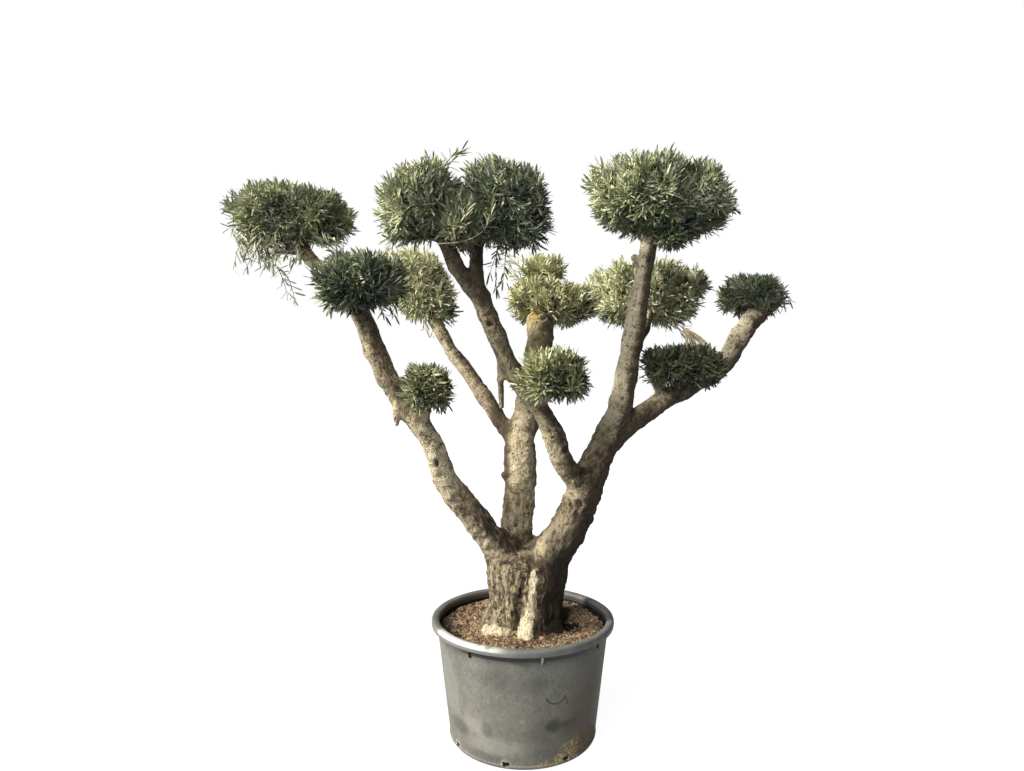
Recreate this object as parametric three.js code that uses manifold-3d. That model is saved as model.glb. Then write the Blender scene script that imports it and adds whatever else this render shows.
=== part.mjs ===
// Cloud-pruned olive tree with three stems, in a round nursery pot.
// Millimetres, Z up. The pot stands on zero height and the front faces -Y.
import * as THREE from "three";
import { mergeVertices } from "three/addons/utils/BufferGeometryUtils.js";
import Module from "manifold-3d";

const wasm = await Module();
wasm.setup();

// Clearance left between neighbouring pieces
const GAP = 0.35;

// Pot
const POT_HEIGHT = 630;
const RIM_RADIUS = 500;
const RIM_INNER_RADIUS = 458;
const RIM_DROP = 38;
const WALL = 9;
const WALL_TOP_RADIUS = 469;
const FOOT_RADIUS = 399;
const RIM_ROUNDING = 9;
const FOOT_BAND = 22;
const FOOT_BAND_STEP = 3;
const FOOT_ROUNDING = 9;
const FLOOR_RADIUS = 388;
const POT_SIDES = 36;
const CUTTER_LENGTH = 60;
const DRAIN_COUNT = 8;
const DRAIN_FIRST_DEG = -102.8;
const DRAIN_WIDTH = 34;
const DRAIN_HEIGHT = 26;
const DRAIN_MIDDLE = 24;
const SLOT_COUNT = 4;
const SLOT_FIRST_DEG = -125;
const SLOT_WIDTH = 20;
const SLOT_HEIGHT = 26;
const SLOT_MIDDLE = 560;

// Soil
const SOIL_LEVEL = 580;

// Trunk
const TRUNK_TOP = 1012;
const TRUNK_SIDES = 24;
const TRUNK_STEPS = 9;
const TRUNK_SHIFT = 15;
const TRUNK_LEAN = 8;
const TRUNK_DEPTH_SHARE = 0.74;
const TRUNK_HALF_WIDTHS = [214, 200, 196, 199, 208, 219, 228, 221, 178, 80];
const TRUNK_RIDGES = [
  { count: 5, size: 0.035, start: 1.3, twist: 0 },
  { count: 8, size: 0.025, start: 0, twist: -4 },
];
const TOE_HEIGHT = 190;
const TOES = [
  { deg: -87, out: 44, spread: 17 },
  { deg: -149, out: 72, spread: 20 },
  { deg: 40, out: 118, spread: 21 },
  { deg: 105, out: 60, spread: 24 },
  { deg: 172, out: 50, spread: 20 },
  { deg: -38, out: 34, spread: 16 },
];

// Limbs
const LIMB_STEP = 120;
const LIMB_SIDES = 10;
const THIN_LIMB = 30;
const THIN_LIMB_SIDES = 7;
const LIMB_WAVE = 0.045;
const LIMB_LOBES = [
  { count: 3, twist: 7 },
  { count: 2, twist: 19 },
];

// Foliage: rounded spaces and their cores
const CORE_SHARE = 0.82;
const CORE_ROUGHNESS = 0.075;
const CORE_DETAIL = 2;
const CORE_RUFFLE = new THREE.Vector3(41, 29, 53);
const UPPER_FULLNESS = 3;
const LOWER_FULLNESS = 3.1;
const HOLLOWS = 0.05;
const HOLLOW_COUNT = 5;
const LIMB_MARGIN = 9;
const SPACE_MARGIN = 1.03;
const BEAD_STEP = 20;

// Foliage: the stem that enters a mass
const STEM_SIDES = 8;
const STEM_STEPS = 3;
const STEM_SHARE = 0.86;
const STEM_ONWARD = 30;
const SIDE_STEM_RADIUS = 20;

// Foliage: shoots and leaves, larger than life
const GOLDEN_ANGLE = Math.PI * (3 - Math.sqrt(5));
const SHOOT_FALL = 1.86;
const SHOOT_JITTER = 0.3;
const SHOOT_TIP = 0.97;
const TWIG_EVERY = 5;
const TWIG_HEEL = 0.66;
const TWIG_TIP = 0.95;
const TWIG_RADIUS = 7;
const REACH_RADIUS = 10;
const REACH_HEEL = 0.3;
const REACH_LEAVES = 3;
const LEAF_LENGTH = 150;
const LEAF_WIDTH = 50;
const LEAF_THICK = 13;
const LEAF_LEAST = 0.85;
const LEAF_SPREAD = 0.3;
const LEAF_UPTURN = 0.8;
const LEAF_SINK = 0.2;
const LEAF_SPLAY = 0.75;
const LAST_LEAF_SPLAY = 0.1;
const FIRST_LEAF = 0.35;
const LAST_LEAF = 0.9;

// Foliage: hanging sprays, which bend over and drop
const SPRAY_RADII = [9, 7, 5];
const SPRAY_LEAVES = 2;
const SPRAY_FIRST_TURN = 0.45 * Math.PI;
const SPRAY_TURNS = 1.35 * Math.PI;
const SPRAY_DEPTH = 0.8;
const SPRAY_RISE = 0.35;
const SPRAY_FALL = 0.5;
const SPRAY_BEND = 0.62;
const SPRAY_TIP = 0.26;
const SPRAY_DROP = 110;
const SPRAY_DROP_SPREAD = 60;
const SPRAY_LOWEST = 0.86;

const WELD = 0.002;
const up = new THREE.Vector3(0, 0, 1);
const radians = THREE.MathUtils.degToRad;

function seededRandom(seed) {
  let state = seed;
  return () => {
    state = (state * 1664525 + 1013904223) % 4294967296;
    return state / 4294967296;
  };
}

function solidFrom(geometry) {
  const bare = new THREE.BufferGeometry();
  bare.setAttribute("position", geometry.getAttribute("position"));
  if (geometry.index) {
    bare.setIndex(geometry.index);
  }
  const welded = mergeVertices(bare, WELD);
  const corners = welded.index.array;
  const kept = [];
  for (let i = 0; i < corners.length; i += 3) {
    const [a, b, c] = corners.slice(i, i + 3);
    if (a !== b && b !== c && c !== a) {
      kept.push(a, b, c);
    }
  }
  const triVerts = Uint32Array.from(kept);
  const vertProperties = Float32Array.from(welded.getAttribute("position").array);
  return new wasm.Manifold(new wasm.Mesh({ numProp: 3, vertProperties, triVerts }));
}

function geometryFrom(solid) {
  const { vertProperties, triVerts } = solid.getMesh();
  const geometry = new THREE.BufferGeometry();
  geometry.setAttribute("position", new THREE.BufferAttribute(Float32Array.from(vertProperties), 3));
  geometry.setIndex(new THREE.BufferAttribute(Uint32Array.from(triVerts), 1));
  geometry.computeVertexNormals();
  return geometry;
}

function fuse(solids) {
  return solids.reduce((whole, next) => whole.add(next));
}

function largestPiece(solid) {
  const pieces = solid.decompose();
  return pieces.sort((a, b) => b.volume() - a.volume())[0];
}

function boxesMeet(first, second) {
  const a = first.boundingBox();
  const b = second.boundingBox();
  return [0, 1, 2].every((k) => a.min[k] <= b.max[k] && b.min[k] <= a.max[k]);
}

function cutClear(solid, others) {
  const near = others.filter((other) => boxesMeet(solid, other));
  return near.reduce((left, other) => left.subtract(other), solid);
}

// Pot: one thick-walled shell with a rolled rim, drain holes low down and slots under the rim
function wallRadius(height) {
  const share = (height - FOOT_BAND) / (POT_HEIGHT - RIM_DROP - FOOT_BAND);
  return THREE.MathUtils.lerp(FOOT_RADIUS, WALL_TOP_RADIUS, share);
}

function lathed(profile) {
  const points = profile.map(([radius, height]) => new THREE.Vector2(radius, height));
  return solidFrom(new THREE.LatheGeometry(points, POT_SIDES).rotateX(Math.PI / 2));
}

function holesRound(count, firstDeg, width, height, middle) {
  const cutters = [];
  for (let k = 0; k < count; k += 1) {
    const turn = radians(firstDeg + (k * 360) / count);
    const box = new THREE.BoxGeometry(CUTTER_LENGTH, width, height);
    box.translate(wallRadius(middle), 0, middle).rotateZ(turn);
    cutters.push(solidFrom(box));
  }
  return fuse(cutters);
}

function potSolid() {
  const underRim = POT_HEIGHT - RIM_DROP;
  const shell = lathed([
    [0, 0],
    [FLOOR_RADIUS, 0],
    [FOOT_RADIUS, FOOT_ROUNDING],
    [FOOT_RADIUS + FOOT_BAND_STEP, FOOT_BAND - FOOT_BAND_STEP],
    [wallRadius(FOOT_BAND), FOOT_BAND],
    [wallRadius(underRim), underRim],
    [RIM_RADIUS - RIM_ROUNDING / 2, underRim],
    [RIM_RADIUS, underRim + RIM_ROUNDING],
    [RIM_RADIUS, POT_HEIGHT - RIM_ROUNDING],
    [RIM_RADIUS - RIM_ROUNDING, POT_HEIGHT],
    [RIM_INNER_RADIUS + RIM_ROUNDING, POT_HEIGHT],
    [RIM_INNER_RADIUS, POT_HEIGHT - RIM_ROUNDING],
    [wallRadius(underRim) - WALL, underRim],
    [wallRadius(FOOT_BAND) - WALL, FOOT_BAND],
    [FLOOR_RADIUS - WALL, WALL],
    [0, WALL],
  ]);
  const drains = holesRound(DRAIN_COUNT, DRAIN_FIRST_DEG, DRAIN_WIDTH, DRAIN_HEIGHT, DRAIN_MIDDLE);
  const slots = holesRound(SLOT_COUNT, SLOT_FIRST_DEG, SLOT_WIDTH, SLOT_HEIGHT, SLOT_MIDDLE);
  return shell.subtract(drains).subtract(slots);
}

function soilSolid() {
  const inset = WALL + GAP;
  return lathed([
    [0, WALL + GAP],
    [FLOOR_RADIUS - inset, WALL + GAP],
    [wallRadius(FOOT_BAND) - inset, FOOT_BAND],
    [wallRadius(SOIL_LEVEL) - inset, SOIL_LEVEL],
    [0, SOIL_LEVEL],
  ]);
}

// Trunk: flared at the soil, flat on its underside, widening again below the fork
function toeReach(turn) {
  return TOES.reduce((sum, toe) => {
    const off = THREE.MathUtils.radToDeg(turn) - toe.deg;
    const apart = Math.abs(((off + 540) % 360) - 180);
    return sum + toe.out * Math.exp(-((apart / toe.spread) ** 2));
  }, 0);
}

function trunkSolid(grow) {
  const base = SOIL_LEVEL + GAP - grow;
  const tall = TRUNK_TOP + grow - base;
  const geometry = new THREE.CylinderGeometry(1, 1, 1, TRUNK_SIDES, TRUNK_STEPS);
  geometry.rotateX(Math.PI / 2);
  const spots = geometry.getAttribute("position");
  for (let i = 0; i < spots.count; i += 1) {
    const share = spots.getZ(i) + 0.5;
    const turn = Math.atan2(spots.getY(i), spots.getX(i));
    const onRim = Math.hypot(spots.getX(i), spots.getY(i)) > 0.5 ? 1 : 0;
    const fade = Math.max(0, 1 - (share * tall) / TOE_HEIGHT) ** 2;
    const ridges = TRUNK_RIDGES.reduce((sum, ridge) => {
      return sum + ridge.size * Math.sin(ridge.count * turn + ridge.start + ridge.twist * share);
    }, 1);
    const half = TRUNK_HALF_WIDTHS[Math.round(share * TRUNK_STEPS)] * ridges;
    const deep = THREE.MathUtils.lerp(1, TRUNK_DEPTH_SHARE, share);
    const out = onRim * (half + toeReach(turn) * fade + grow);
    const middle = TRUNK_SHIFT + TRUNK_LEAN * share;
    spots.setXYZ(i, middle + Math.cos(turn) * out, Math.sin(turn) * out * deep, base + share * tall);
  }
  return solidFrom(geometry);
}

// Stems and boughs: each one tapering limb, in the order they branch.
// Paths run from inside the parent to the tip, radii are shared out evenly along them.
const LIMBS = [
  {
    name: "stem_right",
    path: [[70, -10, 830], [123, -20, 934], [236, -40, 1093], [314, -60, 1271], [402, -60, 1489],
      [478, -60, 1653], [534, -60, 1778], [566, -80, 1974], [600, -90, 2168], [639, -110, 2445],
      [673, -130, 2655]],
    radii: [116, 106, 105, 97, 80, 69, 65, 60, 54, 48, 44],
    knobs: [[596, -110, 2579, 26]],
  },
  {
    name: "stem_left",
    path: [[-70, -10, 900], [-218, -50, 1117], [-314, -80, 1253], [-412, -110, 1395], [-474, -140, 1568],
      [-535, -160, 1675], [-632, -180, 1808], [-717, -200, 1942], [-768, -210, 2075], [-838, -230, 2258]],
    radii: [106, 86, 72, 65, 61, 59, 57, 57, 54],
    knobs: [[-452, -160, 1440, 26], [-575, -205, 1772, 24], [-770, -205, 2000, 28], [-812, -215, 2062, 28]],
  },
  {
    name: "stem_centre",
    path: [[-16, 35, 880], [-29, 60, 991], [-34, 80, 1144], [-12, 110, 1298], [-10, 190, 1571],
      [34, 240, 1720], [90, 320, 1958], [114, 400, 2176], [118, 440, 2292]],
    radii: [104, 92, 90, 88, 84, 80],
    knobs: [[-92, 78, 1390, 26], [92, 230, 1905, 24]],
  },
  {
    name: "bough_front",
    path: [[322, -70, 1335], [214, -160, 1490], [160, -210, 1642], [80, -250, 1784], [-54, -310, 1968],
      [-136, -350, 2144], [-214, -380, 2318], [-228, -388, 2360]],
    radii: [66, 57, 55, 54, 52, 50, 49],
    knobs: [[184, -215, 1678, 24], [214, -180, 1572, 24], [-176, -385, 2345, 24]],
  },
  {
    name: "bough_front_left",
    path: [[-220, -384, 2320], [-268, -392, 2385], [-323, -410, 2461], [-361, -420, 2540]],
    radii: [46, 42, 39],
  },
  {
    name: "bough_front_right",
    path: [[-219, -384, 2325], [-229, -387, 2390], [-234, -380, 2466], [-237, -370, 2560]],
    radii: [40, 37, 34],
  },
  {
    name: "bough_left_high",
    path: [[-800, -222, 2170], [-846, -205, 2247], [-942, -160, 2374], [-1097, -120, 2524],
      [-1180, -102, 2618]],
    radii: [44, 42, 38, 35],
  },
  {
    name: "bough_back_left",
    path: [[-24, 180, 1535], [-180, 280, 1762], [-326, 380, 1974], [-422, 440, 2090], [-490, 480, 2204],
      [-562, 516, 2322]],
    radii: [50, 48, 45, 41, 38],
  },
  {
    name: "bough_right",
    path: [[460, -56, 1590], [556, -32, 1672], [650, 0, 1724], [793, 40, 1814], [950, 80, 1886],
      [1082, 104, 1954]],
    radii: [78, 61, 57, 57, 58],
  },
  {
    name: "bough_right_outer",
    path: [[1082, 104, 1954], [1178, 115, 2054], [1240, 112, 2166], [1290, 108, 2240], [1345, 105, 2312],
      [1442, 100, 2392]],
    radii: [59, 57, 57, 56, 52],
    knobs: [[1440, 66, 2402, 34]],
  },
  {
    name: "bough_right_back",
    path: [[585, -82, 2080], [640, 20, 2150], [703, 120, 2224], [765, 285, 2345]],
    radii: [34, 30, 27],
  },
  {
    name: "spur_left_low",
    path: [[-530, -160, 1668], [-520, -182, 1712], [-500, -206, 1780]],
    radii: [34, 30, 27],
  },
  {
    name: "spur_front_centre",
    path: [[80, -250, 1790], [100, -302, 1816], [124, -356, 1850]],
    radii: [32, 29, 27],
  },
  {
    name: "spur_right_low",
    path: [[812, 44, 1826], [745, 4, 1906], [692, -20, 1982]],
    radii: [38, 32, 26],
  },
  {
    name: "stub_left",
    path: [[-634, -185, 1802], [-668, -200, 1778], [-668, -202, 1725], [-655, -200, 1678]],
    radii: [22, 20, 18],
  },
  {
    name: "stub_centre",
    path: [[-90, -322, 2050], [-128, -292, 2015], [-120, -275, 1960], [-112, -255, 1775]],
    radii: [18, 17, 15],
    knobs: [[-118, -272, 1925, 22]],
  },
];

function curveOf(limb) {
  return new THREE.CatmullRomCurve3(limb.path.map((spot) => new THREE.Vector3(...spot)));
}

function radiusAt(limb, share) {
  const place = share * (limb.radii.length - 1);
  const before = Math.min(Math.floor(place), limb.radii.length - 2);
  return THREE.MathUtils.lerp(limb.radii[before], limb.radii[before + 1], place - before);
}

function tube(limb, sides, steps, wave, grow) {
  const curve = curveOf(limb);
  const frames = curve.computeFrenetFrames(steps, false);
  const phase = limb.path[0][2];
  const geometry = new THREE.CylinderGeometry(1, 1, 1, sides, steps);
  const spots = geometry.getAttribute("position");
  for (let i = 0; i < spots.count; i += 1) {
    const share = spots.getY(i) + 0.5;
    const ring = Math.round(share * steps);
    const turn = Math.atan2(spots.getZ(i), spots.getX(i));
    const onRim = Math.hypot(spots.getX(i), spots.getZ(i)) > 0.5 ? 1 : 0;
    const lobes = LIMB_LOBES.reduce((sum, lobe) => {
      return sum + wave * Math.sin(lobe.count * turn + phase + lobe.twist * share);
    }, 1);
    const out = onRim * (radiusAt(limb, share) * lobes + grow);
    const past = grow * Math.sign(Math.round(2 * share - 1));
    const spot = curve.getPointAt(share);
    spot.addScaledVector(frames.binormals[ring], Math.cos(turn) * out);
    spot.addScaledVector(frames.normals[ring], Math.sin(turn) * out);
    spot.addScaledVector(frames.tangents[ring], ring === 0 || ring === steps ? past : 0);
    spots.setXYZ(i, spot.x, spot.y, spot.z);
  }
  return solidFrom(geometry);
}

function limbSolid(limb, grow) {
  const steps = Math.max(3, Math.round(curveOf(limb).getLength() / LIMB_STEP));
  const sides = limb.radii[0] > THIN_LIMB ? LIMB_SIDES : THIN_LIMB_SIDES;
  const knobs = (limb.knobs ?? []).map(([x, y, z, size]) => {
    const knob = new THREE.IcosahedronGeometry(size + grow, 0);
    return solidFrom(knob.translate(x, y, z));
  });
  return fuse([tube(limb, sides, steps, LIMB_WAVE, grow), ...knobs]);
}

// Foliage masses: half sizes of each rounded space, and the limb each one grows from.
// A reach is a point a longer shoot stands out to.
const MASSES = [
  {
    name: "foliage_top_right", limb: "stem_right", centre: [722, -130, 2882], half: [430, 320, 256],
    tilt: -0.06, lean: -0.1, upper: 2.6, lower: 2.1, shoots: 47,
  },
  {
    name: "foliage_top_left", limb: "bough_front_left", centre: [-500, -420, 2788], half: [250, 225, 242],
    tilt: 0.2, upper: 2.4, lower: 2.3, shoots: 36,
  },
  {
    name: "foliage_top_middle", limb: "bough_front_right", centre: [-94, -360, 2792], half: [266, 230, 256],
    tilt: -0.14, upper: 2.4, lower: 2.8, shoots: 38, reaches: [[-130, -300, 2372]],
  },
  {
    name: "foliage_left_high", limb: "bough_left_high", centre: [-1236, -100, 2814], half: [380, 260, 172],
    tilt: -0.1, upper: 2.6, lower: 2.7, shoots: 39, reaches: [[-1632, -100, 2892]],
  },
  {
    name: "foliage_left_hanging", limb: "bough_left_high", from: 0.88, centre: [-1352, -120, 2606],
    half: [190, 140, 200], hanging: true, shoots: 7, reaches: [[-1222, -120, 2353]],
  },
  {
    name: "foliage_left_mid", limb: "stem_left", centre: [-814, -400, 2402], half: [272, 195, 166],
    tilt: 0.08, shoots: 31,
  },
  {
    name: "foliage_back_left", limb: "bough_back_left", centre: [-640, 600, 2518], half: [250, 220, 296],
    lean: -0.3, shoots: 36,
  },
  {
    name: "foliage_back_centre", limb: "stem_centre", centre: [200, 550, 2420], half: [340, 260, 182],
    tilt: -0.12, lower: 2.5, shoots: 34, reaches: [[-71, 500, 2700]],
    lobe: { centre: [150, 560, 2642], half: [186, 120, 112], shoots: 12 },
  },
  {
    name: "foliage_back_right", limb: "bough_right_back", centre: [766, 420, 2452], half: [424, 280, 236],
    lower: 2.3, shoots: 37, reaches: [[999, 300, 2212]],
  },
  {
    name: "foliage_far_right", limb: "bough_right_outer", from: 0.62, centre: [1352, 215, 2414],
    half: [234, 170, 142], lower: 2.3, shoots: 22, reaches: [[1612, 215, 2410]],
  },
  {
    name: "foliage_right_low", limb: "spur_right_low", centre: [893, -40, 1998], half: [276, 175, 136],
    shoots: 26, reaches: [[900, -20, 2190]],
  },
  {
    name: "foliage_front_centre", limb: "spur_front_centre", centre: [140, -480, 1942], half: [208, 165, 150],
    shoots: 24,
  },
  {
    name: "foliage_left_low", limb: "spur_left_low", centre: [-498, -222, 1884], half: [168, 135, 142],
    shoots: 20,
  },
];

function spaceReach(mass, way) {
  const across = way.x - (mass.lean ?? 0) * way.z;
  const plan = Math.hypot(across / mass.half[0], way.y / mass.half[1]);
  const lift = way.z - (mass.tilt ?? 0) * way.x;
  const rise = Math.abs(lift) / mass.half[2];
  const fullness = lift > 0 ? (mass.upper ?? UPPER_FULLNESS) : (mass.lower ?? LOWER_FULLNESS);
  const turn = Math.atan2(way.y, way.x);
  const wave = 0.5 + 0.5 * Math.sin(HOLLOW_COUNT * turn + mass.centre[0]);
  const hollow = HOLLOWS * wave * (1 - way.z ** 2);
  return (1 - hollow) / (plan ** fullness + rise ** fullness) ** (1 / fullness);
}

function insideSpace(mass, spot, share) {
  const way = spot.clone().sub(new THREE.Vector3(...mass.centre));
  const distance = way.length();
  return distance < 1 || distance < share * spaceReach(mass, way.normalize());
}

const limbBeads = LIMBS.flatMap((limb) => {
  const curve = curveOf(limb);
  const count = Math.ceil(curve.getLength() / BEAD_STEP);
  return Array.from({ length: count + 1 }, (_, k) => {
    return { spot: curve.getPointAt(k / count), radius: radiusAt(limb, k / count) };
  });
});

function clearOfLimbs(spot) {
  return limbBeads.every((bead) => bead.spot.distanceTo(spot) > bead.radius + LIMB_MARGIN);
}

function between(from, to, share) {
  return from.clone().lerp(to, share);
}

function freeOf(others, spots) {
  return spots.every((spot) => {
    return clearOfLimbs(spot) && others.every((other) => !insideSpace(other, spot, SPACE_MARGIN));
  });
}

function spotsAlong(from, to) {
  return [from, between(from, to, 0.33), between(from, to, 0.67), to];
}

function twigSolid(from, to, radius) {
  const way = to.clone().sub(from);
  const cone = new THREE.ConeGeometry(radius, way.length(), 3);
  const turn = new THREE.Quaternion().setFromUnitVectors(new THREE.Vector3(0, 1, 0), way.clone().normalize());
  cone.applyQuaternion(turn);
  const middle = between(from, to, 0.5);
  return solidFrom(cone.translate(middle.x, middle.y, middle.z));
}

function leafEnds(root, way, length) {
  return {
    heel: root.clone().addScaledVector(way, -length * LEAF_SINK),
    tip: root.clone().addScaledVector(way, length * (1 - LEAF_SINK)),
  };
}

function leafSolid(root, way, length, roll) {
  const { heel, tip } = leafEnds(root, way, length);
  const leaf = new THREE.OctahedronGeometry(1);
  leaf.scale(length / 2, LEAF_WIDTH / 2, LEAF_THICK / 2).rotateX(roll);
  const turn = new THREE.Quaternion().setFromUnitVectors(new THREE.Vector3(1, 0, 0), way);
  leaf.applyQuaternion(turn);
  const middle = between(heel, tip, 0.5);
  return solidFrom(leaf.translate(middle.x, middle.y, middle.z));
}

function shootWay(k, count, random) {
  const rise = 1 - (SHOOT_FALL * (k + 0.5)) / count;
  const flat = Math.sqrt(1 - rise * rise);
  const turn = k * GOLDEN_ANGLE + random() * SHOOT_JITTER;
  return new THREE.Vector3(flat * Math.cos(turn), flat * Math.sin(turn), rise);
}

function coreSolid(space, grow) {
  const core = new THREE.IcosahedronGeometry(1, CORE_DETAIL);
  const spots = core.getAttribute("position");
  for (let i = 0; i < spots.count; i += 1) {
    const way = new THREE.Vector3().fromBufferAttribute(spots, i).normalize();
    const ruffle = Math.sin(way.dot(CORE_RUFFLE) + space.centre[0]);
    const reach = (CORE_SHARE + CORE_ROUGHNESS * ruffle) * spaceReach(space, way) + grow;
    spots.setXYZ(i, way.x * reach, way.y * reach, way.z * reach);
  }
  return solidFrom(core.translate(...space.centre));
}

function stemOf(mass) {
  const limb = LIMBS.find((one) => one.name === mass.limb);
  const curve = curveOf(limb);
  const start = mass.from ?? 1;
  const root = curve.getPointAt(start);
  const middle = new THREE.Vector3(...mass.centre);
  const onward = root.clone().addScaledVector(curve.getTangentAt(start), STEM_ONWARD);
  const path = mass.from ? [root, between(root, middle, 0.5), middle] : [root, onward, middle];
  const radius = mass.from ? SIDE_STEM_RADIUS : radiusAt(limb, 1) * STEM_SHARE;
  return { path: path.map((spot) => spot.toArray()), radii: [radius, radius * 0.7, radius * 0.5] };
}

function leavesAlong(mass, others, from, to, count, random) {
  const along = to.clone().sub(from).normalize();
  const leaves = [];
  for (let k = 0; k < count; k += 1) {
    const last = k === count - 1;
    const root = between(from, to, last ? LAST_LEAF : FIRST_LEAF + (0.5 * k) / count);
    const sideways = new THREE.Vector3().crossVectors(along, up).normalize();
    sideways.applyAxisAngle(along, k * GOLDEN_ANGLE + random() * 2);
    const way = along.clone().addScaledVector(sideways, last ? LAST_LEAF_SPLAY : LEAF_SPLAY).normalize();
    const length = LEAF_LENGTH * (LEAF_LEAST + LEAF_SPREAD * random());
    const roll = random() * Math.PI;
    const { tip } = leafEnds(root, way, length);
    if (freeOf(others, spotsAlong(root, tip)) && (mass.loose || insideSpace(mass, tip, 1))) {
      leaves.push(leafSolid(root, way, length, roll));
    }
  }
  return leaves;
}

function denseShoots(mass, others, random) {
  const middle = new THREE.Vector3(...mass.centre);
  const parts = [];
  for (let k = 0; k < mass.shoots; k += 1) {
    const way = shootWay(k, mass.shoots, random);
    const reach = spaceReach(mass, way);
    const tip = middle.clone().addScaledVector(way, reach * THREE.MathUtils.lerp(SHOOT_TIP, 1, random()));
    const lean = way.clone().addScaledVector(up, LEAF_UPTURN * random()).normalize();
    const length = LEAF_LENGTH * (LEAF_LEAST + LEAF_SPREAD * random());
    const root = tip.clone().addScaledVector(lean, -length * (1 - LEAF_SINK));
    const roll = random() * Math.PI;
    if (!freeOf(others, spotsAlong(root, tip))) {
      continue;
    }
    parts.push(leafSolid(root, lean, length, roll));
    if (k % TWIG_EVERY === 0) {
      const heel = middle.clone().addScaledVector(way, reach * TWIG_HEEL);
      const end = middle.clone().addScaledVector(way, reach * TWIG_TIP);
      parts.push(twigSolid(heel, end, TWIG_RADIUS));
      parts.push(...leavesAlong(mass, others, heel, end, 1, random));
    }
  }
  return parts;
}

function hangingShoots(mass, others, random) {
  const middle = new THREE.Vector3(...mass.centre);
  const parts = [];
  for (let k = 0; k < mass.shoots; k += 1) {
    const turn = SPRAY_FIRST_TURN + (SPRAY_TURNS * (k + 0.5)) / mass.shoots;
    const rise = SPRAY_RISE - SPRAY_FALL * random();
    const way = new THREE.Vector3(Math.cos(turn), Math.sin(turn) * SPRAY_DEPTH, rise).normalize();
    const reach = spaceReach(mass, way);
    const bend = middle.clone().addScaledVector(way, reach * SPRAY_BEND);
    const tip = bend.clone().addScaledVector(way, reach * SPRAY_TIP);
    const drop = SPRAY_DROP + SPRAY_DROP_SPREAD * random();
    tip.z = Math.max(tip.z - drop, mass.centre[2] - mass.half[2] * SPRAY_LOWEST);
    if (!freeOf(others, [...spotsAlong(between(middle, bend, 0.4), bend), ...spotsAlong(bend, tip)])) {
      continue;
    }
    const spray = { path: [middle.toArray(), bend.toArray(), tip.toArray()], radii: SPRAY_RADII };
    parts.push(tube(spray, 3, 2, 0, 0));
    parts.push(...leavesAlong(mass, others, middle, bend, SPRAY_LEAVES, random));
    parts.push(...leavesAlong(mass, others, bend, tip, SPRAY_LEAVES, random));
  }
  return parts;
}

function spacesOf(mass) {
  return mass.lobe ? [mass, mass.lobe] : [mass];
}

function foliageSolid(mass, keptClear) {
  const random = seededRandom(Math.abs(mass.centre[0]) * 7 + mass.shoots);
  const others = MASSES.filter((one) => one !== mass).flatMap(spacesOf);
  const parts = [tube(stemOf(mass), STEM_SIDES, STEM_STEPS, 0, 0)];
  if (mass.hanging) {
    parts.push(...hangingShoots(mass, others, random));
  } else {
    for (const space of spacesOf(mass)) {
      parts.push(coreSolid(space, 0), ...denseShoots(space, others, random));
    }
  }
  for (const far of mass.reaches ?? []) {
    const tip = new THREE.Vector3(...far);
    const heel = between(new THREE.Vector3(...mass.centre), tip, mass.hanging ? 0 : REACH_HEEL);
    const leafy = [between(heel, tip, 0.4), between(heel, tip, 0.72)];
    parts.push(twigSolid(heel, tip, REACH_RADIUS));
    parts.push(...leavesAlong({ ...mass, loose: true }, others, ...leafy, REACH_LEAVES, random));
  }
  return largestPiece(cutClear(fuse(parts), keptClear));
}

// Assembly
const tree = new THREE.Group();
tree.name = "olive_tree_in_pot";

function place(name, solid, colour, roughness) {
  const material = new THREE.MeshStandardMaterial({ color: colour, roughness, metalness: 0 });
  const mesh = new THREE.Mesh(geometryFrom(solid), material);
  mesh.name = name;
  tree.add(mesh);
}

place("pot", potSolid(), 0x6f716c, 0.7);
place("soil", soilSolid(), 0x4a3a2c, 0.95);
place("trunk", trunkSolid(0), 0x9a8c76, 0.9);

const grown = [trunkSolid(GAP)];
for (const limb of LIMBS) {
  place(limb.name, largestPiece(cutClear(limbSolid(limb, 0), grown)), 0xa09078, 0.9);
  grown.push(limbSolid(limb, GAP));
}
for (const mass of MASSES) {
  place(mass.name, foliageSolid(mass, grown), 0x53663a, 0.8);
  grown.push(tube(stemOf(mass), STEM_SIDES, STEM_STEPS, 0, GAP));
  if (!mass.hanging) {
    grown.push(...spacesOf(mass).map((space) => coreSolid(space, 2 * GAP)));
  }
}

export default tree;
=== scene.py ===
import bpy
import bmesh
import math
import numpy as np
from mathutils import Matrix, Vector, kdtree, noise


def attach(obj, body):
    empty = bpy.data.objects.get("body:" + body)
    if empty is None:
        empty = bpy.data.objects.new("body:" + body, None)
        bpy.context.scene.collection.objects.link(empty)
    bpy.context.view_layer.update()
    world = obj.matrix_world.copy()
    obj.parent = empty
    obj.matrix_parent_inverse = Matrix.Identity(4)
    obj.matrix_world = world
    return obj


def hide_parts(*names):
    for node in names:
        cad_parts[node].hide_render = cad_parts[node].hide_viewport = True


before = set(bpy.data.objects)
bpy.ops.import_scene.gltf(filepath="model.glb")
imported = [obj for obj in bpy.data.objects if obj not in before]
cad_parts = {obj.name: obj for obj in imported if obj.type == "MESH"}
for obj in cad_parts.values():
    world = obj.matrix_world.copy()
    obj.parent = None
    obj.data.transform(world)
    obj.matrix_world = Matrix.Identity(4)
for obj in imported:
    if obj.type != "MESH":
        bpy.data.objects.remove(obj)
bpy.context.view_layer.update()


# Pot
# A round nursery container, moulded in one piece of grey plastic about a metre across, with a rolled rim.
# Four slots and four small tabs are moulded under the rim, and square drain holes are cut low in the wall.
POT_HEIGHT = 0.630
RIM_OUTER = 0.500
RIM_INNER = 0.458
RIM_UNDER = 0.592
WALL = 0.009
WALL_TOP = 0.469
WALL_STEPS = 12
FOOT_RADIUS = 0.399
FOOT_BAND = 0.022
FLOOR_RADIUS = 0.388
POT_TURNS = 192
SLOTS = 4
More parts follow.
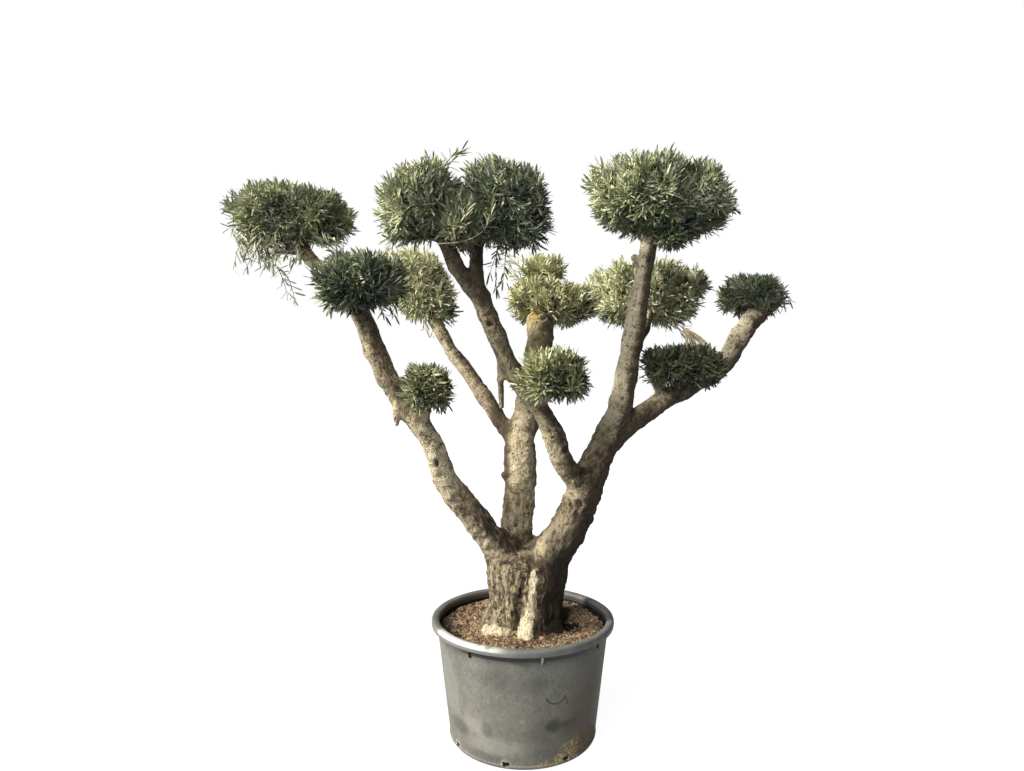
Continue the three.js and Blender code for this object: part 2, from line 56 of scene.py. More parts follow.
SLOT_FIRST = math.radians(-125)
SLOT_SIZE = (0.020, 0.026)
SLOT_Z = 0.560
DRAINS = 8
DRAIN_FIRST = math.radians(-102.8)
DRAIN_SIZE = (0.034, 0.026)
DRAIN_Z = 0.024
HOLE_REACH = 0.03
TAB_AFTER_SLOT = math.radians(45.5)
TAB_DEEP = 0.024
TAB_TALL = 0.062
TAB_THICK = 0.010
TAB_SUNK = 0.004


def wall_radius(z):
    """The wall's radius outside at a height, which is a number or a Value of a finish."""
    return FOOT_RADIUS + (WALL_TOP - FOOT_RADIUS) * (z - FOOT_BAND) / (RIM_UNDER - FOOT_BAND)


def piece(name, vertices, faces, material, smooth=True):
    """A mesh object at the origin, its faces turned outwards."""
    mesh = bpy.data.meshes.new(name)
    mesh.from_pydata([tuple(v) for v in vertices], [], [tuple(f) for f in faces])
    shape = bmesh.new()
    shape.from_mesh(mesh)
    bmesh.ops.recalc_face_normals(shape, faces=shape.faces)
    shape.to_mesh(mesh)
    shape.free()
    mesh.shade_smooth() if smooth else mesh.shade_flat()
    mesh.materials.append(material)
    made = bpy.data.objects.new(name, mesh)
    bpy.context.scene.collection.objects.link(made)
    return made


def ring_spots(radius, turns):
    """Points of x and y on a ring round Z."""
    return [(radius * math.cos(turn), radius * math.sin(turn))
            for turn in (2 * math.pi * k / turns for k in range(turns))]


def ring_faces(rings, turns, first=0, ends=None):
    """Faces that close rings of corners, which start at first, with the middle corner of each end."""
    near_end, far_end = ends or (rings * turns, rings * turns + 1)
    last = first + (rings - 1) * turns
    faces = []
    for k in range(turns):
        n = (k + 1) % turns
        faces.append((near_end, first + n, first + k))
        faces.append((far_end, last + k, last + n))
        for low in range(first, last, turns):
            faces.append((low + k, low + n, low + turns + n, low + turns + k))
    return faces


def turned(profile, turns):
    """Vertices and faces of a profile of (radius, height) turned round Z, both ends on the axis."""
    vertices = [(0.0, 0.0, profile[0][1]), (0.0, 0.0, profile[-1][1])]
    for radius, z in profile[1:-1]:
        vertices += [(x, y, z) for x, y in ring_spots(radius, turns)]
    return vertices, ring_faces(len(profile) - 2, turns, 2, (0, 1))


def set_round(count, first, corners, sides):
    """Vertices and faces of a small form set several times round the pot."""
    vertices, faces = [], []
    for number in range(count):
        turn = Matrix.Rotation(first + 2 * math.pi * number / count, 3, "Z")
        faces += [[len(vertices) + corner for corner in side] for side in sides]
        vertices += [turn @ Vector(corner) for corner in corners]
    return vertices, faces


def joined(forms):
    """Several forms' vertices and faces as one form."""
    vertices, faces = [], []
    for form_vertices, form_faces in forms:
        faces += [[len(vertices) + corner for corner in face] for face in form_faces]
        vertices += form_vertices
    return vertices, faces


def modified(owner, name, kind, **settings):
    """A new modifier on the owner, with its settings."""
    modifier = owner.modifiers.new(name, kind)
    for setting, value in settings.items():
        setattr(modifier, setting, value)
    return modifier


def plain(owner):
    """Gives the owner its mesh with the modifiers applied, and takes them off."""
    bpy.context.view_layer.update()
    graph = bpy.context.evaluated_depsgraph_get()
    made = bpy.data.meshes.new_from_object(owner.evaluated_get(graph))
    owner.modifiers.clear()
    owner.data = made


def put_node(tree, kind, settings, sockets):
    """A new node in a tree, its settings set first, then a value or a link for each socket."""
    made = tree.nodes.new(kind)
    for name, value in settings.items():
        setattr(made, name, value)
    for name, value in sockets.items():
        if isinstance(value, bpy.types.NodeSocket):
            tree.links.new(value, made.inputs[name])
        else:
            made.inputs[name].default_value = value
    return made


class Value:
    """A socket of a finish, on which Python's operators add Math nodes."""

    def __init__(self, finish, socket):
        self.finish = finish
        self.socket = socket

    def math(self, operation, *values):
        return self.finish.node("ShaderNodeMath", {"operation": operation}, dict(enumerate(values)))

    def __add__(self, other):
        return self.math("ADD", self, other)

    def __sub__(self, other):
        return self.math("SUBTRACT", self, other)

    def __mul__(self, other):
        return self.math("MULTIPLY", self, other)

    def __truediv__(self, other):
        return self.math("DIVIDE", self, other)

    def __pow__(self, other):
        return self.math("POWER", self, other)

    def __rsub__(self, other):
        return self.math("SUBTRACT", other, self)

    def __abs__(self):
        return self.math("ABSOLUTE", self)

    __radd__ = __add__
    __rmul__ = __mul__

    def rise(self, low, high):
        """0 below low, 1 above high, smooth between. With high below low it falls."""
        smooth = {"interpolation_type": "SMOOTHSTEP"}
        return self.finish.node("ShaderNodeMapRange", smooth, {0: self, 1: low, 2: high, 3: 0.0, 4: 1.0})


def far(across, along):
    """How far a point lies from a middle, from how far it lies each way."""
    return (across * across + along * along) ** 0.5


class Finish:
    """A material, with one method for its nodes."""

    def __init__(self, name, **fixed):
        self.material = bpy.data.materials.new(name)
        self.material.use_nodes = True
        self.tree = self.material.node_tree
        self.shader = self.tree.nodes["Principled BSDF"]
        for socket, value in fixed.items():
            self.shader.inputs[socket.replace("_", " ")].default_value = value

    def node(self, kind, settings, sockets, output=0):
        sockets = {name: getattr(value, "socket", value) for name, value in sockets.items()}
        return Value(self, put_node(self.tree, kind, settings, sockets).outputs[output])

    def stretched(self, vector, scale):
        return self.node("ShaderNodeVectorMath", {"operation": "MULTIPLY"}, {0: vector, 1: scale})

    def place(self, scale=(1.0, 1.0, 1.0)):
        """Where a point lies on the object, stretched by scale."""
        return self.stretched(self.node("ShaderNodeTexCoord", {}, {}, "Object"), scale)

    def axes(self, vector):
        return [self.node("ShaderNodeSeparateXYZ", {}, {0: vector}, k) for k in range(3)]

    def grain(self, vector, scale, detail=4.0, roughness=0.55):
        return self.node("ShaderNodeTexNoise", {}, {"Vector": vector, "Scale": scale, "Detail": detail,
                                                    "Roughness": roughness})

    def mix(self, share, first, second):
        """A colour between two, by share."""
        colours = {0: share, 6: first, 7: second}
        for key in (6, 7):
            if not isinstance(colours[key], Value):
                colours[key] = (*colours[key], 1.0)
        return self.node("ShaderNodeMix", {"data_type": "RGBA"}, colours, 2)

    def layers(self, colour, *coats):
        """A colour under coats of others, laid on in turn, each given as its share and its colour."""
        for share, coat in coats:
            colour = self.mix(share, colour, coat)
        return colour

    def set(self, socket, value):
        self.tree.links.new(value.socket, self.shader.inputs[socket])

    def bump(self, height, distance, strength=1.0):
        self.set("Normal", self.node("ShaderNodeBump", {}, {"Height": height, "Distance": distance,
                                                            "Strength": strength}))


def weathered_plastic():
    """Grey plastic, chalky and streaked, with smudges, a curved scratch, dried mud at the foot, and painted light and
    shade.
    """
    finish = Finish("weathered_plastic")
    x, y, z = finish.axes(finish.place())
    turn = x.math("ARCTAN2", y, x) * (180 / math.pi)
    out = far(x, y)
    blotches = finish.grain(finish.place((1.0, 1.0, 0.6)), 7.0, 5.0, 0.6)
    cloudy = finish.grain(finish.place(), 2.6, 2.0)
    streaks = finish.grain(finish.place((1.0, 1.0, 0.16)), 26.0, 4.0, 0.7)
    mottles = finish.grain(finish.place(), 30.0, 5.0, 0.72)
    specks = finish.grain(finish.place(), 160.0, 2.0, 0.7)
    grit = finish.grain(finish.place((1.0, 1.0, 0.7)), 78.0, 5.0, 0.78)
    straw = finish.grain(finish.place(), 135.0, 3.0, 0.75)
    fibres = finish.grain(finish.place((0.5, 0.5, 1.3)), 105.0, 4.0, 0.75)

    def spots(colour, *places):
        """Soft ovals on the wall, each at a turn in degrees and a height, with its two sizes and its share."""
        for degrees, height, wide, tall, share in places:
            away = far((turn - degrees) / wide, (z - height) / tall)
            away = away + (blotches - 0.5) * 1.6 + (mottles - 0.5) * 1.1
            yield away.rise(1.48, 0.52) * share, colour

    def beside(count, first, metres):
        """How far round the wall a point lies from the nearest of evenly spaced holes."""
        return turn.math("PINGPONG", turn - math.degrees(first) + 720.0, 180.0 / count) * metres

    ring = far((turn + 69.0) * 0.0066, z - 0.378) + (blotches - 0.5) * 0.016
    scratch = abs(ring - 0.043).rise(0.0070, 0.0022) * z.rise(0.374, 0.362)
    stroke = abs((turn + 62.6) * 0.0078 - (0.366 - z) * 0.452 + (blotches - 0.5) * 0.010)
    stroke = stroke.rise(0.0056, 0.0020) * z.rise(0.310, 0.322) * z.rise(0.372, 0.364)
    scratch = 1.0 - (1.0 - scratch * 0.92) * (1.0 - stroke * 0.95)
    warm = turn.rise(-72.0, -30.0) * z.rise(0.58, 0.34) * out.rise(0.38, 0.39)
    wall = wall_radius(z)
    under_rim = z.rise(0.600, 0.592)
    # Painted shade on the wall under the rim, stronger towards the right.
    painted_shade_under_rim = z.rise(0.520, 0.584) * under_rim * (0.45 + blotches * 0.85) * (0.75 + 0.25 * turn.rise(-120.0, -60.0))
    # The tabs that stand out under the rim are painted pale, as painted light.
    painted_light_on_tabs = (out - wall).rise(0.004, 0.007) * z.rise(0.500, 0.510) * z.rise(0.5915, 0.5895)
    slope = 0.140 - (turn + 42.0) * (turn + 42.0) * 0.000085
    mud = (z - slope + (blotches - 0.5) * 0.16).rise(0.012, -0.012) * turn.rise(-88.0, -80.0) * turn.rise(-8.0, -22.0)
    mud = mud * (mottles + (fibres - 0.5) * 0.6).rise(0.32, 0.50) * (0.60 + 0.40 * turn.rise(-74.0, -60.0))
    mud_colour = finish.layers(
        finish.mix(straw.rise(0.40, 0.58), (0.190, 0.122, 0.052), (0.900, 0.740, 0.400)),
        (fibres.rise(0.52, 0.62) * 0.62, (0.095, 0.058, 0.028)),
        (turn.rise(-54.0, -44.0) * 0.74, (0.080, 0.056, 0.033)))
    torn = far(beside(DRAINS, DRAIN_FIRST, 0.0069), z - DRAIN_Z) + (straw - 0.5) * 0.020
    torn = torn.rise(0.033, 0.026) * straw.rise(0.42, 0.56)
    slot_off = beside(SLOTS, SLOT_FIRST, 0.008)
    drip = slot_off.rise(0.012, 0.004) * z.rise(0.500, 0.535) * z.rise(0.552, 0.540) * blotches.rise(0.35, 0.6)
    # Painted shade on the cut sides of the slots, inside the wall.
    hollow = slot_off.rise(0.0130, 0.0115) * (wall - out).rise(0.0004, 0.0014) * z.rise(0.520, 0.530)
    # A painted highlight along the top of the rim at the front left.
    painted_rim_highlight = z.rise(0.6105, 0.6140) * turn.rise(-156.0, -149.0) * turn.rise(-98.0, -110.0) * blotches.rise(0.62, 0.48)
    rim_colour = finish.layers(
        finish.mix(blotches.rise(0.40, 0.68), (0.190, 0.194, 0.186), (0.134, 0.139, 0.132)),
        (specks.rise(0.58, 0.72) * 0.4, (0.31, 0.31, 0.29)),
        (painted_rim_highlight * 0.85, (0.72, 0.72, 0.69)),
        (turn.rise(-140.0, -165.0) * 0.25, (0.080, 0.082, 0.078)))
    rim = z.rise(0.590, 0.594)
    finish.set("Base Color", finish.layers(
        finish.mix(cloudy.rise(0.35, 0.65), (0.150, 0.153, 0.138), (0.228, 0.225, 0.198)),
        (streaks.rise(0.45, 0.70) * 0.22, (0.30, 0.295, 0.265)),
        (mottles.rise(0.50, 0.66) * 0.45, (0.085, 0.087, 0.073)),
        (mottles.rise(0.46, 0.32) * 0.35, (0.30, 0.295, 0.26)),
        (z.rise(0.42, 0.12) * cloudy.rise(0.30, 0.60) * 0.45, (0.185, 0.175, 0.130)),
        (blotches.rise(0.50, 0.72) * 0.45, (0.105, 0.112, 0.094)),
        (specks.rise(0.62, 0.74) * 0.35, (0.33, 0.32, 0.29)),
        (grit.rise(0.54, 0.64) * 0.50, (0.070, 0.070, 0.058)),
        (grit.rise(0.44, 0.34) * 0.40, (0.330, 0.320, 0.285)),
        *spots((0.36, 0.355, 0.31), (-126.0, 0.190, 9.0, 0.040, 0.36), (-110.0, 0.110, 16.0, 0.040, 0.42),
               (-88.0, 0.120, 12.0, 0.035, 0.30), (-150.0, 0.330, 12.0, 0.120, 0.25), (-91.0, 0.255, 1.5, 0.010, 0.50)),
        *spots((0.048, 0.051, 0.043), (-70.5, 0.218, 6.0, 0.036, 1.00), (-57.0, 0.214, 7.5, 0.018, 1.00),
               (-116.0, 0.193, 3.6, 0.034, 0.45), (-141.0, 0.150, 9.0, 0.035, 0.60), (-108.0, 0.470, 9.0, 0.055, 0.30),
               (-84.0, 0.440, 8.0, 0.040, 0.28), (-52.0, 0.300, 6.0, 0.060, 0.30), (-120.0, 0.040, 12.0, 0.025, 0.45)),
        (scratch, (0.040, 0.042, 0.036)),
        (warm * (0.70 + 0.5 * blotches), (0.066, 0.050, 0.032)),
        *spots((0.070, 0.050, 0.030), (-50.0, 0.190, 17.0, 0.060, 0.6)),
        (painted_shade_under_rim, (0.028, 0.027, 0.021)),
        (turn.rise(-116.0, -146.0) * 0.18, (0.060, 0.060, 0.052)),
        # A painted shadow line right under the rim, on the front and the right.
        (z.rise(0.556, 0.566) * under_rim * turn.rise(-140.0, -122.0) * 0.95, (0.010, 0.010, 0.008)),
        (painted_light_on_tabs, (0.50, 0.49, 0.45)),
        (mud, mud_colour),
        (torn * 0.85, (0.56, 0.50, 0.38)),
        (drip * 0.7, (0.40, 0.39, 0.34)),
        (hollow, (0.008, 0.008, 0.006)),
        (rim, rim_colour),
        # The inside of the wall near its top is painted dark, as painted shade.
        (out.rise(0.4585, 0.4565) * z.rise(0.50, 0.52) * 0.85, (0.030, 0.028, 0.022))))
    finish.set("Roughness", 0.54 + 0.22 * blotches + 0.15 * mud - 0.06 * rim)
    finish.bump(blotches * 0.5 + streaks * 0.2 + specks * 0.12 + mud * straw * 1.4 - scratch * 0.3 + torn * 0.6, 0.003)
    return finish.material


plastic = weathered_plastic()
outer_wall = [(wall_radius(z), z) for z in np.linspace(FOOT_BAND + 0.001, RIM_UNDER - 0.002, WALL_STEPS)]
pot_profile = [
    (0.0, 0.0), (FLOOR_RADIUS, 0.0), (FOOT_RADIUS - 0.003, 0.003), (FOOT_RADIUS + 0.001, 0.009),
    (FOOT_RADIUS + 0.003, 0.014), (FOOT_RADIUS + 0.003, 0.019), *outer_wall,
    (WALL_TOP + 0.0015, RIM_UNDER), (RIM_OUTER - 0.008, RIM_UNDER), (RIM_OUTER - 0.002, RIM_UNDER + 0.003),
    (RIM_OUTER, RIM_UNDER + 0.009), (RIM_OUTER, POT_HEIGHT - 0.013), (RIM_OUTER - 0.0025, POT_HEIGHT - 0.005),
    (RIM_OUTER - 0.009, POT_HEIGHT - 0.0008), (RIM_OUTER - 0.018, POT_HEIGHT), (RIM_INNER + 0.011, POT_HEIGHT - 0.001),
    (RIM_INNER + 0.003, POT_HEIGHT - 0.005), (RIM_INNER, POT_HEIGHT - 0.012), (RIM_INNER - 0.0015, RIM_UNDER + 0.006),
    *[(radius - WALL, z) for radius, z in reversed(outer_wall)], (FLOOR_RADIUS - WALL, WALL), (0.0, WALL),
]
pot = piece("pot_shell", *turned(pot_profile, POT_TURNS), plastic)


def square_holes(count, first, size, z):
    """Blocks round the wall, to cut square holes through it."""
    corners = [(wall_radius(z) + HOLE_REACH * i, size[0] / 2 * j, z + size[1] / 2 * k)
               for i in (-1, 1) for j in (-1, 1) for k in (-1, 1)]
    sides = ((0, 1, 3, 2), (4, 6, 7, 5), (0, 4, 5, 1), (2, 3, 7, 6), (0, 2, 6, 4), (1, 5, 7, 3))
    return set_round(count, first, corners, sides)


holes = joined((square_holes(SLOTS, SLOT_FIRST, SLOT_SIZE, SLOT_Z),
                square_holes(DRAINS, DRAIN_FIRST, DRAIN_SIZE, DRAIN_Z)))
cutter = piece("hole_cutter", *holes, plastic, smooth=False)
modified(pot, "holes", "BOOLEAN", operation="DIFFERENCE", solver="EXACT", object=cutter)
plain(pot)
bpy.data.objects.remove(cutter)
pot.data.set_sharp_from_angle(angle=math.radians(40))

tab_top = RIM_UNDER + 0.002
tab_outline = ((-TAB_SUNK, tab_top), (TAB_DEEP, tab_top), (TAB_DEEP * 0.75, tab_top - TAB_TALL * 0.45),
               (-TAB_SUNK, tab_top - TAB_TALL))
tab_corners = [(wall_radius(z) + out, side * TAB_THICK, z) for side in (-0.5, 0.5) for out, z in tab_outline]
tab_sides = ((0, 1, 2, 3), (7, 6, 5, 4), (0, 4, 5, 1), (1, 5, 6, 2), (2, 6, 7, 3), (3, 7, 4, 0))
tab_forms = set_round(SLOTS, SLOT_FIRST + TAB_AFTER_SLOT, tab_corners, tab_sides)
tabs = piece("pot_tabs", *tab_forms, plastic, smooth=False)
modified(tabs, "soften", "BEVEL", width=0.0012, segments=2)
plain(tabs)
for made in (pot, tabs):
    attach(made, "root")
    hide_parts("pot")


# Soil
# Moist potting soil that fills the pot to just under its rim, loose and crumbly on top.
# Crumbs, bark chips and bits of straw lie strewn all over it, up to a little way from the wall.
SOIL_LEVEL = 0.580
SOIL_GAP = 0.001
SOIL_RADIUS = wall_radius(SOIL_LEVEL) - WALL - 0.0012
SOIL_RINGS = 64
SOIL_TURNS = 168
SOIL_LUMPS = 0.0150
SOIL_WAVES = 0.006
PIT_MIDDLE = (0.262, -0.030)
PIT_DEEP = 0.026
EDGE_FROM = 0.86
EDGE_DROP = 0.012
PAINTED_EDGE_SHADE = (0.012, 0.009, 0.007)


def soil_height(x, y):
    """The soil's lumpy top, with one pit right of the trunk, lower next to the wall."""
    spot = Vector((x, y, 0.0))
    lumps = noise.fractal(spot * 26.0, 0.9, 2.1, 5) * SOIL_LUMPS
    waves = noise.noise(spot * 5.0 + Vector((3.0, 1.0, 0.0))) * SOIL_WAVES
    edge = max(0.0, math.hypot(x, y) / SOIL_RADIUS - EDGE_FROM) / (1 - EDGE_FROM)
    pit = PIT_DEEP * math.exp(-((x - PIT_MIDDLE[0]) ** 2 + (y - PIT_MIDDLE[1]) ** 2) / 0.0042)
    return SOIL_LEVEL + lumps + waves - pit - EDGE_DROP * edge * edge


def crumbly_soil():
    """Brown soil with darker patches, dry pale grains, and painted shade next to the wall."""
    finish = Finish("crumbly_soil", Roughness=0.95)
    where = finish.place()
    x, y, z = finish.axes(where)
    broad = finish.grain(where, 9.0, 3.0)
    clods = finish.grain(where, 70.0, 5.0, 0.7)
    grains = finish.grain(where, 320.0, 3.0, 0.7)
    lumps = finish.grain(where, 25.0, 4.0, 0.65)
    finish.set("Base Color", finish.layers(
        finish.mix(clods.rise(0.44, 0.58), (0.055, 0.033, 0.018), (0.640, 0.450, 0.272)),
        (lumps.rise(0.49, 0.41) * 0.66, (0.040, 0.023, 0.012)),
        (broad.rise(0.45, 0.66) * 0.45, (0.290, 0.192, 0.112)),
        (broad.rise(0.50, 0.36) * 0.55, (0.052, 0.031, 0.017)),
        (grains.rise(0.56, 0.70) * 0.6, (0.60, 0.47, 0.30)),
        # Painted shade on the soil low down and round its edge next to the wall.
        (z.rise(0.576, 0.568), (0.006, 0.005, 0.004)),
        (far(x, y).rise(0.440, 0.450), PAINTED_EDGE_SHADE)))
    finish.bump(clods + grains * 0.5, 0.006)
    return finish.material


def flecked(name, roughness, dark, pale, edge=()):
    """A rough finish flecked from dark to pale. With an edge, painted shade darkens it between those two radii."""
    finish = Finish(name, Roughness=roughness)
    flecks = finish.grain(finish.place(), 60.0, 3.0)
    colour = finish.mix(flecks.rise(0.35, 0.65), dark, pale)
    if edge:
        x, y, _ = finish.axes(finish.place())
        colour = finish.mix(far(x, y).rise(*edge), colour, PAINTED_EDGE_SHADE)
    finish.set("Base Color", colour)
    finish.bump(flecks, 0.002)
    return finish.material


earth = crumbly_soil()
soil_vertices = [(0.0, 0.0, soil_height(0.0, 0.0)), (0.0, 0.0, WALL + SOIL_GAP)]
for ring in range(1, SOIL_RINGS + 1):
    soil_vertices += [(x, y, soil_height(x, y)) for x, y in ring_spots(SOIL_RADIUS * ring / SOIL_RINGS, SOIL_TURNS)]
for radius, z in ((wall_radius(FOOT_BAND) - WALL - SOIL_GAP, FOOT_BAND),
                  (FLOOR_RADIUS - WALL - SOIL_GAP, WALL + SOIL_GAP)):
    soil_vertices += [(x, y, z) for x, y in ring_spots(radius, SOIL_TURNS)]
soil_faces = [(face[0], *face[:0:-1]) for face in ring_faces(SOIL_RINGS + 2, SOIL_TURNS, 2, (0, 1))]
soil = piece("soil_bed", soil_vertices, soil_faces, earth)
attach(soil, "root")
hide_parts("soil")

# The chips take the same painted shade near the wall.
chips = flecked("bark_chips", 0.9, (0.11, 0.062, 0.034), (0.46, 0.33, 0.20), (0.438, 0.448))
dry_straw = Finish("straw_bits", Roughness=0.8, Base_Color=(0.76, 0.65, 0.42, 1.0)).material


def empty_tree(name, inputs):
    """A Geometry Nodes tree with named inputs, the function that adds its nodes, and the inputs' sockets."""
    tree = bpy.data.node_groups.new(name, "GeometryNodeTree")
    for label, kind in inputs.items():
        tree.interface.new_socket(label, in_out="INPUT", socket_type="NodeSocket" + kind)
    tree.interface.new_socket("Geometry", in_out="OUTPUT", socket_type="NodeSocketGeometry")

    def node(kind, settings, sockets, output=0):
        return put_node(tree, kind, settings, sockets).outputs[output]

    return tree, node, tree.nodes.new("NodeGroupInput").outputs


def scatter_tree():
    """Geometry Nodes that strew small pieces over a surface and turn them into one mesh."""
    tree, node, given = empty_tree("strewn_over_soil", {
        "Geometry": "Geometry", "Number per Area": "Float", "Piece Size": "Vector", "Least Scale": "Float",
        "Seed": "Int", "Finish": "Material"})
    spots = node("GeometryNodeDistributePointsOnFaces", {}, {
        "Mesh": given["Geometry"], "Density": given["Number per Area"], "Seed": given["Seed"]}, "Points")
    lump = node("GeometryNodeMeshIcoSphere", {}, {"Radius": 0.5, "Subdivisions": 1})
    lump = node("GeometryNodeTransform", {}, {"Geometry": lump, "Scale": given["Piece Size"]})
    turn = node("FunctionNodeRandomValue", {"data_type": "FLOAT_VECTOR"}, {
        0: (-0.6, -0.6, 0.0), 1: (0.6, 0.6, 6.283), "Seed": given["Seed"]})
    size = node("FunctionNodeRandomValue", {"data_type": "FLOAT"}, {
        2: given["Least Scale"], 3: 1.0, "Seed": given["Seed"]}, 1)
    strewn = node("GeometryNodeInstanceOnPoints", {}, {
        "Points": spots, "Instance": lump, "Rotation": turn, "Scale": size})
    strewn = node("GeometryNodeRealizeInstances", {}, {"Geometry": strewn})
    strewn = node("GeometryNodeSetMaterial", {}, {"Geometry": strewn, "Material": given["Finish"]})
    put_node(tree, "NodeGroupOutput", {}, {"Geometry": strewn})
    return tree


def set_inputs(modifier, **values):
    """Sets a Geometry Nodes modifier's inputs by their sockets' identifiers."""
    for socket in modifier.node_group.interface.items_tree:
        if socket.item_type == "SOCKET" and socket.in_out == "INPUT" and socket.name.replace(" ", "_") in values:
            modifier[socket.identifier] = values[socket.name.replace(" ", "_")]


strewing = scatter_tree()
for name, rings_bare, number, size, least, seed, material in (
        ("soil_crumbs", 1, 8600.0, (0.0170, 0.0140, 0.0110), 0.15, 4, earth),
        ("soil_chips", 3, 2100.0, (0.026, 0.011, 0.005), 0.35, 9, chips),
        ("soil_straw", 4, 520.0, (0.045, 0.0028, 0.0024), 0.4, 15, dry_straw)):
    top_corners = 2 + (SOIL_RINGS - rings_bare) * SOIL_TURNS
    strewn = piece(name, soil_vertices, [face for face in soil_faces if max(face) < top_corners], material)
    scattering = modified(strewn, "scatter", "NODES", node_group=strewing)
    set_inputs(scattering, Number_per_Area=number, Piece_Size=size, Least_Scale=least, Seed=seed, Finish=material)
    plain(strewn)
    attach(strewn, "root")
    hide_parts("soil")


# Trunk, stems and boughs
# Old olive wood: a flared trunk that splits into three stems, which fork into boughs, each one tapering limb.
# The bark is grey-tan, pitted and cracked along the limb, rubbed bare to pale wood on the flares at the foot.
TRUNK_TOP = 1.012
TRUNK_SHIFT = 0.015
TRUNK_LEAN = 0.008
TRUNK_DEPTH_SHARE = 0.74
TRUNK_HALF_WIDTHS = (0.214, 0.200, 0.196, 0.199, 0.208, 0.219, 0.228, 0.221, 0.178, 0.080)
# Ridges round the trunk: how many, how high, where they start and how far they twist
TRUNK_RIDGES = ((5, 0.035, 1.3, 0.0), (8, 0.025, 0.0, -4.0))
# Root toes: degrees round the trunk, reach in metres and spread in degrees
TOE_HEIGHT = 0.190
TOES = ((-87, 0.044, 17), (-149, 0.072, 20), (40, 0.118, 21), (105, 0.060, 24), (172, 0.050, 20), (-38, 0.034, 16))
# Lobes round every limb: their height as a share of its radius, then how many and how far they twist
LIMB_WAVE = 0.045
LIMB_LOBES = ((3, 7), (2, 19))
# Each limb: the points of its middle line and its radii, shared out evenly along it, in millimetres
LIMBS = {
    "stem_right": (((70, -10, 830), (123, -20, 934), (236, -40, 1093), (314, -60, 1271), (402, -60, 1489),
                    (478, -60, 1653), (534, -60, 1778), (566, -80, 1974), (600, -90, 2168), (639, -110, 2445),
                    (673, -130, 2655)), (116, 106, 105, 97, 80, 69, 65, 60, 54, 48, 44)),
    "stem_left": (((-70, -10, 900), (-218, -50, 1117), (-314, -80, 1253), (-412, -110, 1395), (-474, -140, 1568),
                   (-535, -160, 1675), (-632, -180, 1808), (-717, -200, 1942), (-768, -210, 2075),
                   (-838, -230, 2258)), (106, 86, 72, 65, 61, 59, 57, 57, 54)),
    "stem_centre": (((-16, 35, 880), (-29, 60, 991), (-34, 80, 1144), (-12, 110, 1298), (-10, 190, 1571),
                     (34, 240, 1720), (90, 320, 1958), (114, 400, 2176), (118, 440, 2292)),
                    (104, 92, 90, 88, 84, 80)),
    "bough_front": (((322, -70, 1335), (214, -160, 1490), (160, -210, 1642), (80, -250, 1784), (-54, -310, 1968),
                     (-136, -350, 2144), (-214, -380, 2318), (-228, -388, 2360)), (66, 57, 55, 54, 52, 50, 49)),
    "bough_front_left": (((-220, -384, 2320), (-268, -392, 2385), (-323, -410, 2461), (-361, -420, 2540)),
                         (46, 42, 39)),
    "bough_front_right": (((-219, -384, 2325), (-229, -387, 2390), (-234, -380, 2466), (-237, -370, 2560)),
                          (40, 37, 34)),
    "bough_left_high": (((-800, -222, 2170), (-846, -205, 2247), (-942, -160, 2374), (-1097, -120, 2524),
                         (-1180, -102, 2618)), (44, 42, 38, 35)),
    "bough_back_left": (((-24, 180, 1535), (-180, 280, 1762), (-326, 380, 1974), (-422, 440, 2090),
                         (-490, 480, 2204), (-562, 516, 2322)), (50, 48, 45, 41, 38)),
    "bough_right": (((460, -56, 1590), (556, -32, 1672), (650, 0, 1724), (793, 40, 1814), (950, 80, 1886),
                     (1082, 104, 1954)), (78, 61, 57, 57, 58)),
    "bough_right_outer": (((1082, 104, 1954), (1178, 115, 2054), (1240, 112, 2166), (1290, 108, 2240),
                           (1345, 105, 2312), (1442, 100, 2392)), (59, 57, 57, 56, 52)),
    "bough_right_back": (((585, -82, 2080), (640, 20, 2150), (703, 120, 2224), (765, 285, 2345)), (34, 30, 27)),
    "spur_left_low": (((-530, -160, 1668), (-520, -182, 1712), (-500, -206, 1780)), (34, 30, 27)),
    "spur_front_centre": (((80, -250, 1790), (100, -302, 1816), (124, -356, 1850)), (32, 29, 27)),
    "spur_right_low": (((812, 44, 1826), (745, 4, 1906), (692, -20, 1982)), (38, 32, 26)),
    "stub_left": (((-634, -185, 1802), (-668, -200, 1778), (-668, -202, 1725), (-655, -200, 1678)), (22, 20, 18)),
    "stub_centre": (((-90, -322, 2050), (-128, -292, 2015), (-120, -275, 1960), (-112, -255, 1775)), (18, 17, 15)),
}
# Healed cuts and knots that stand out of the limbs: middle and size in millimetres
KNOBS = ((602, -110, 2579, 20), (-452, -160, 1440, 26), (-575, -205, 1772, 24), (-770, -205, 2000, 28),
         (-812, -215, 2062, 28), (-92, 78, 1390, 26), (92, 230, 1905, 24), (184, -215, 1678, 24),
         (214, -180, 1572, 24), (-176, -385, 2345, 24), (1440, 66, 2402, 34), (-118, -272, 1925, 22))
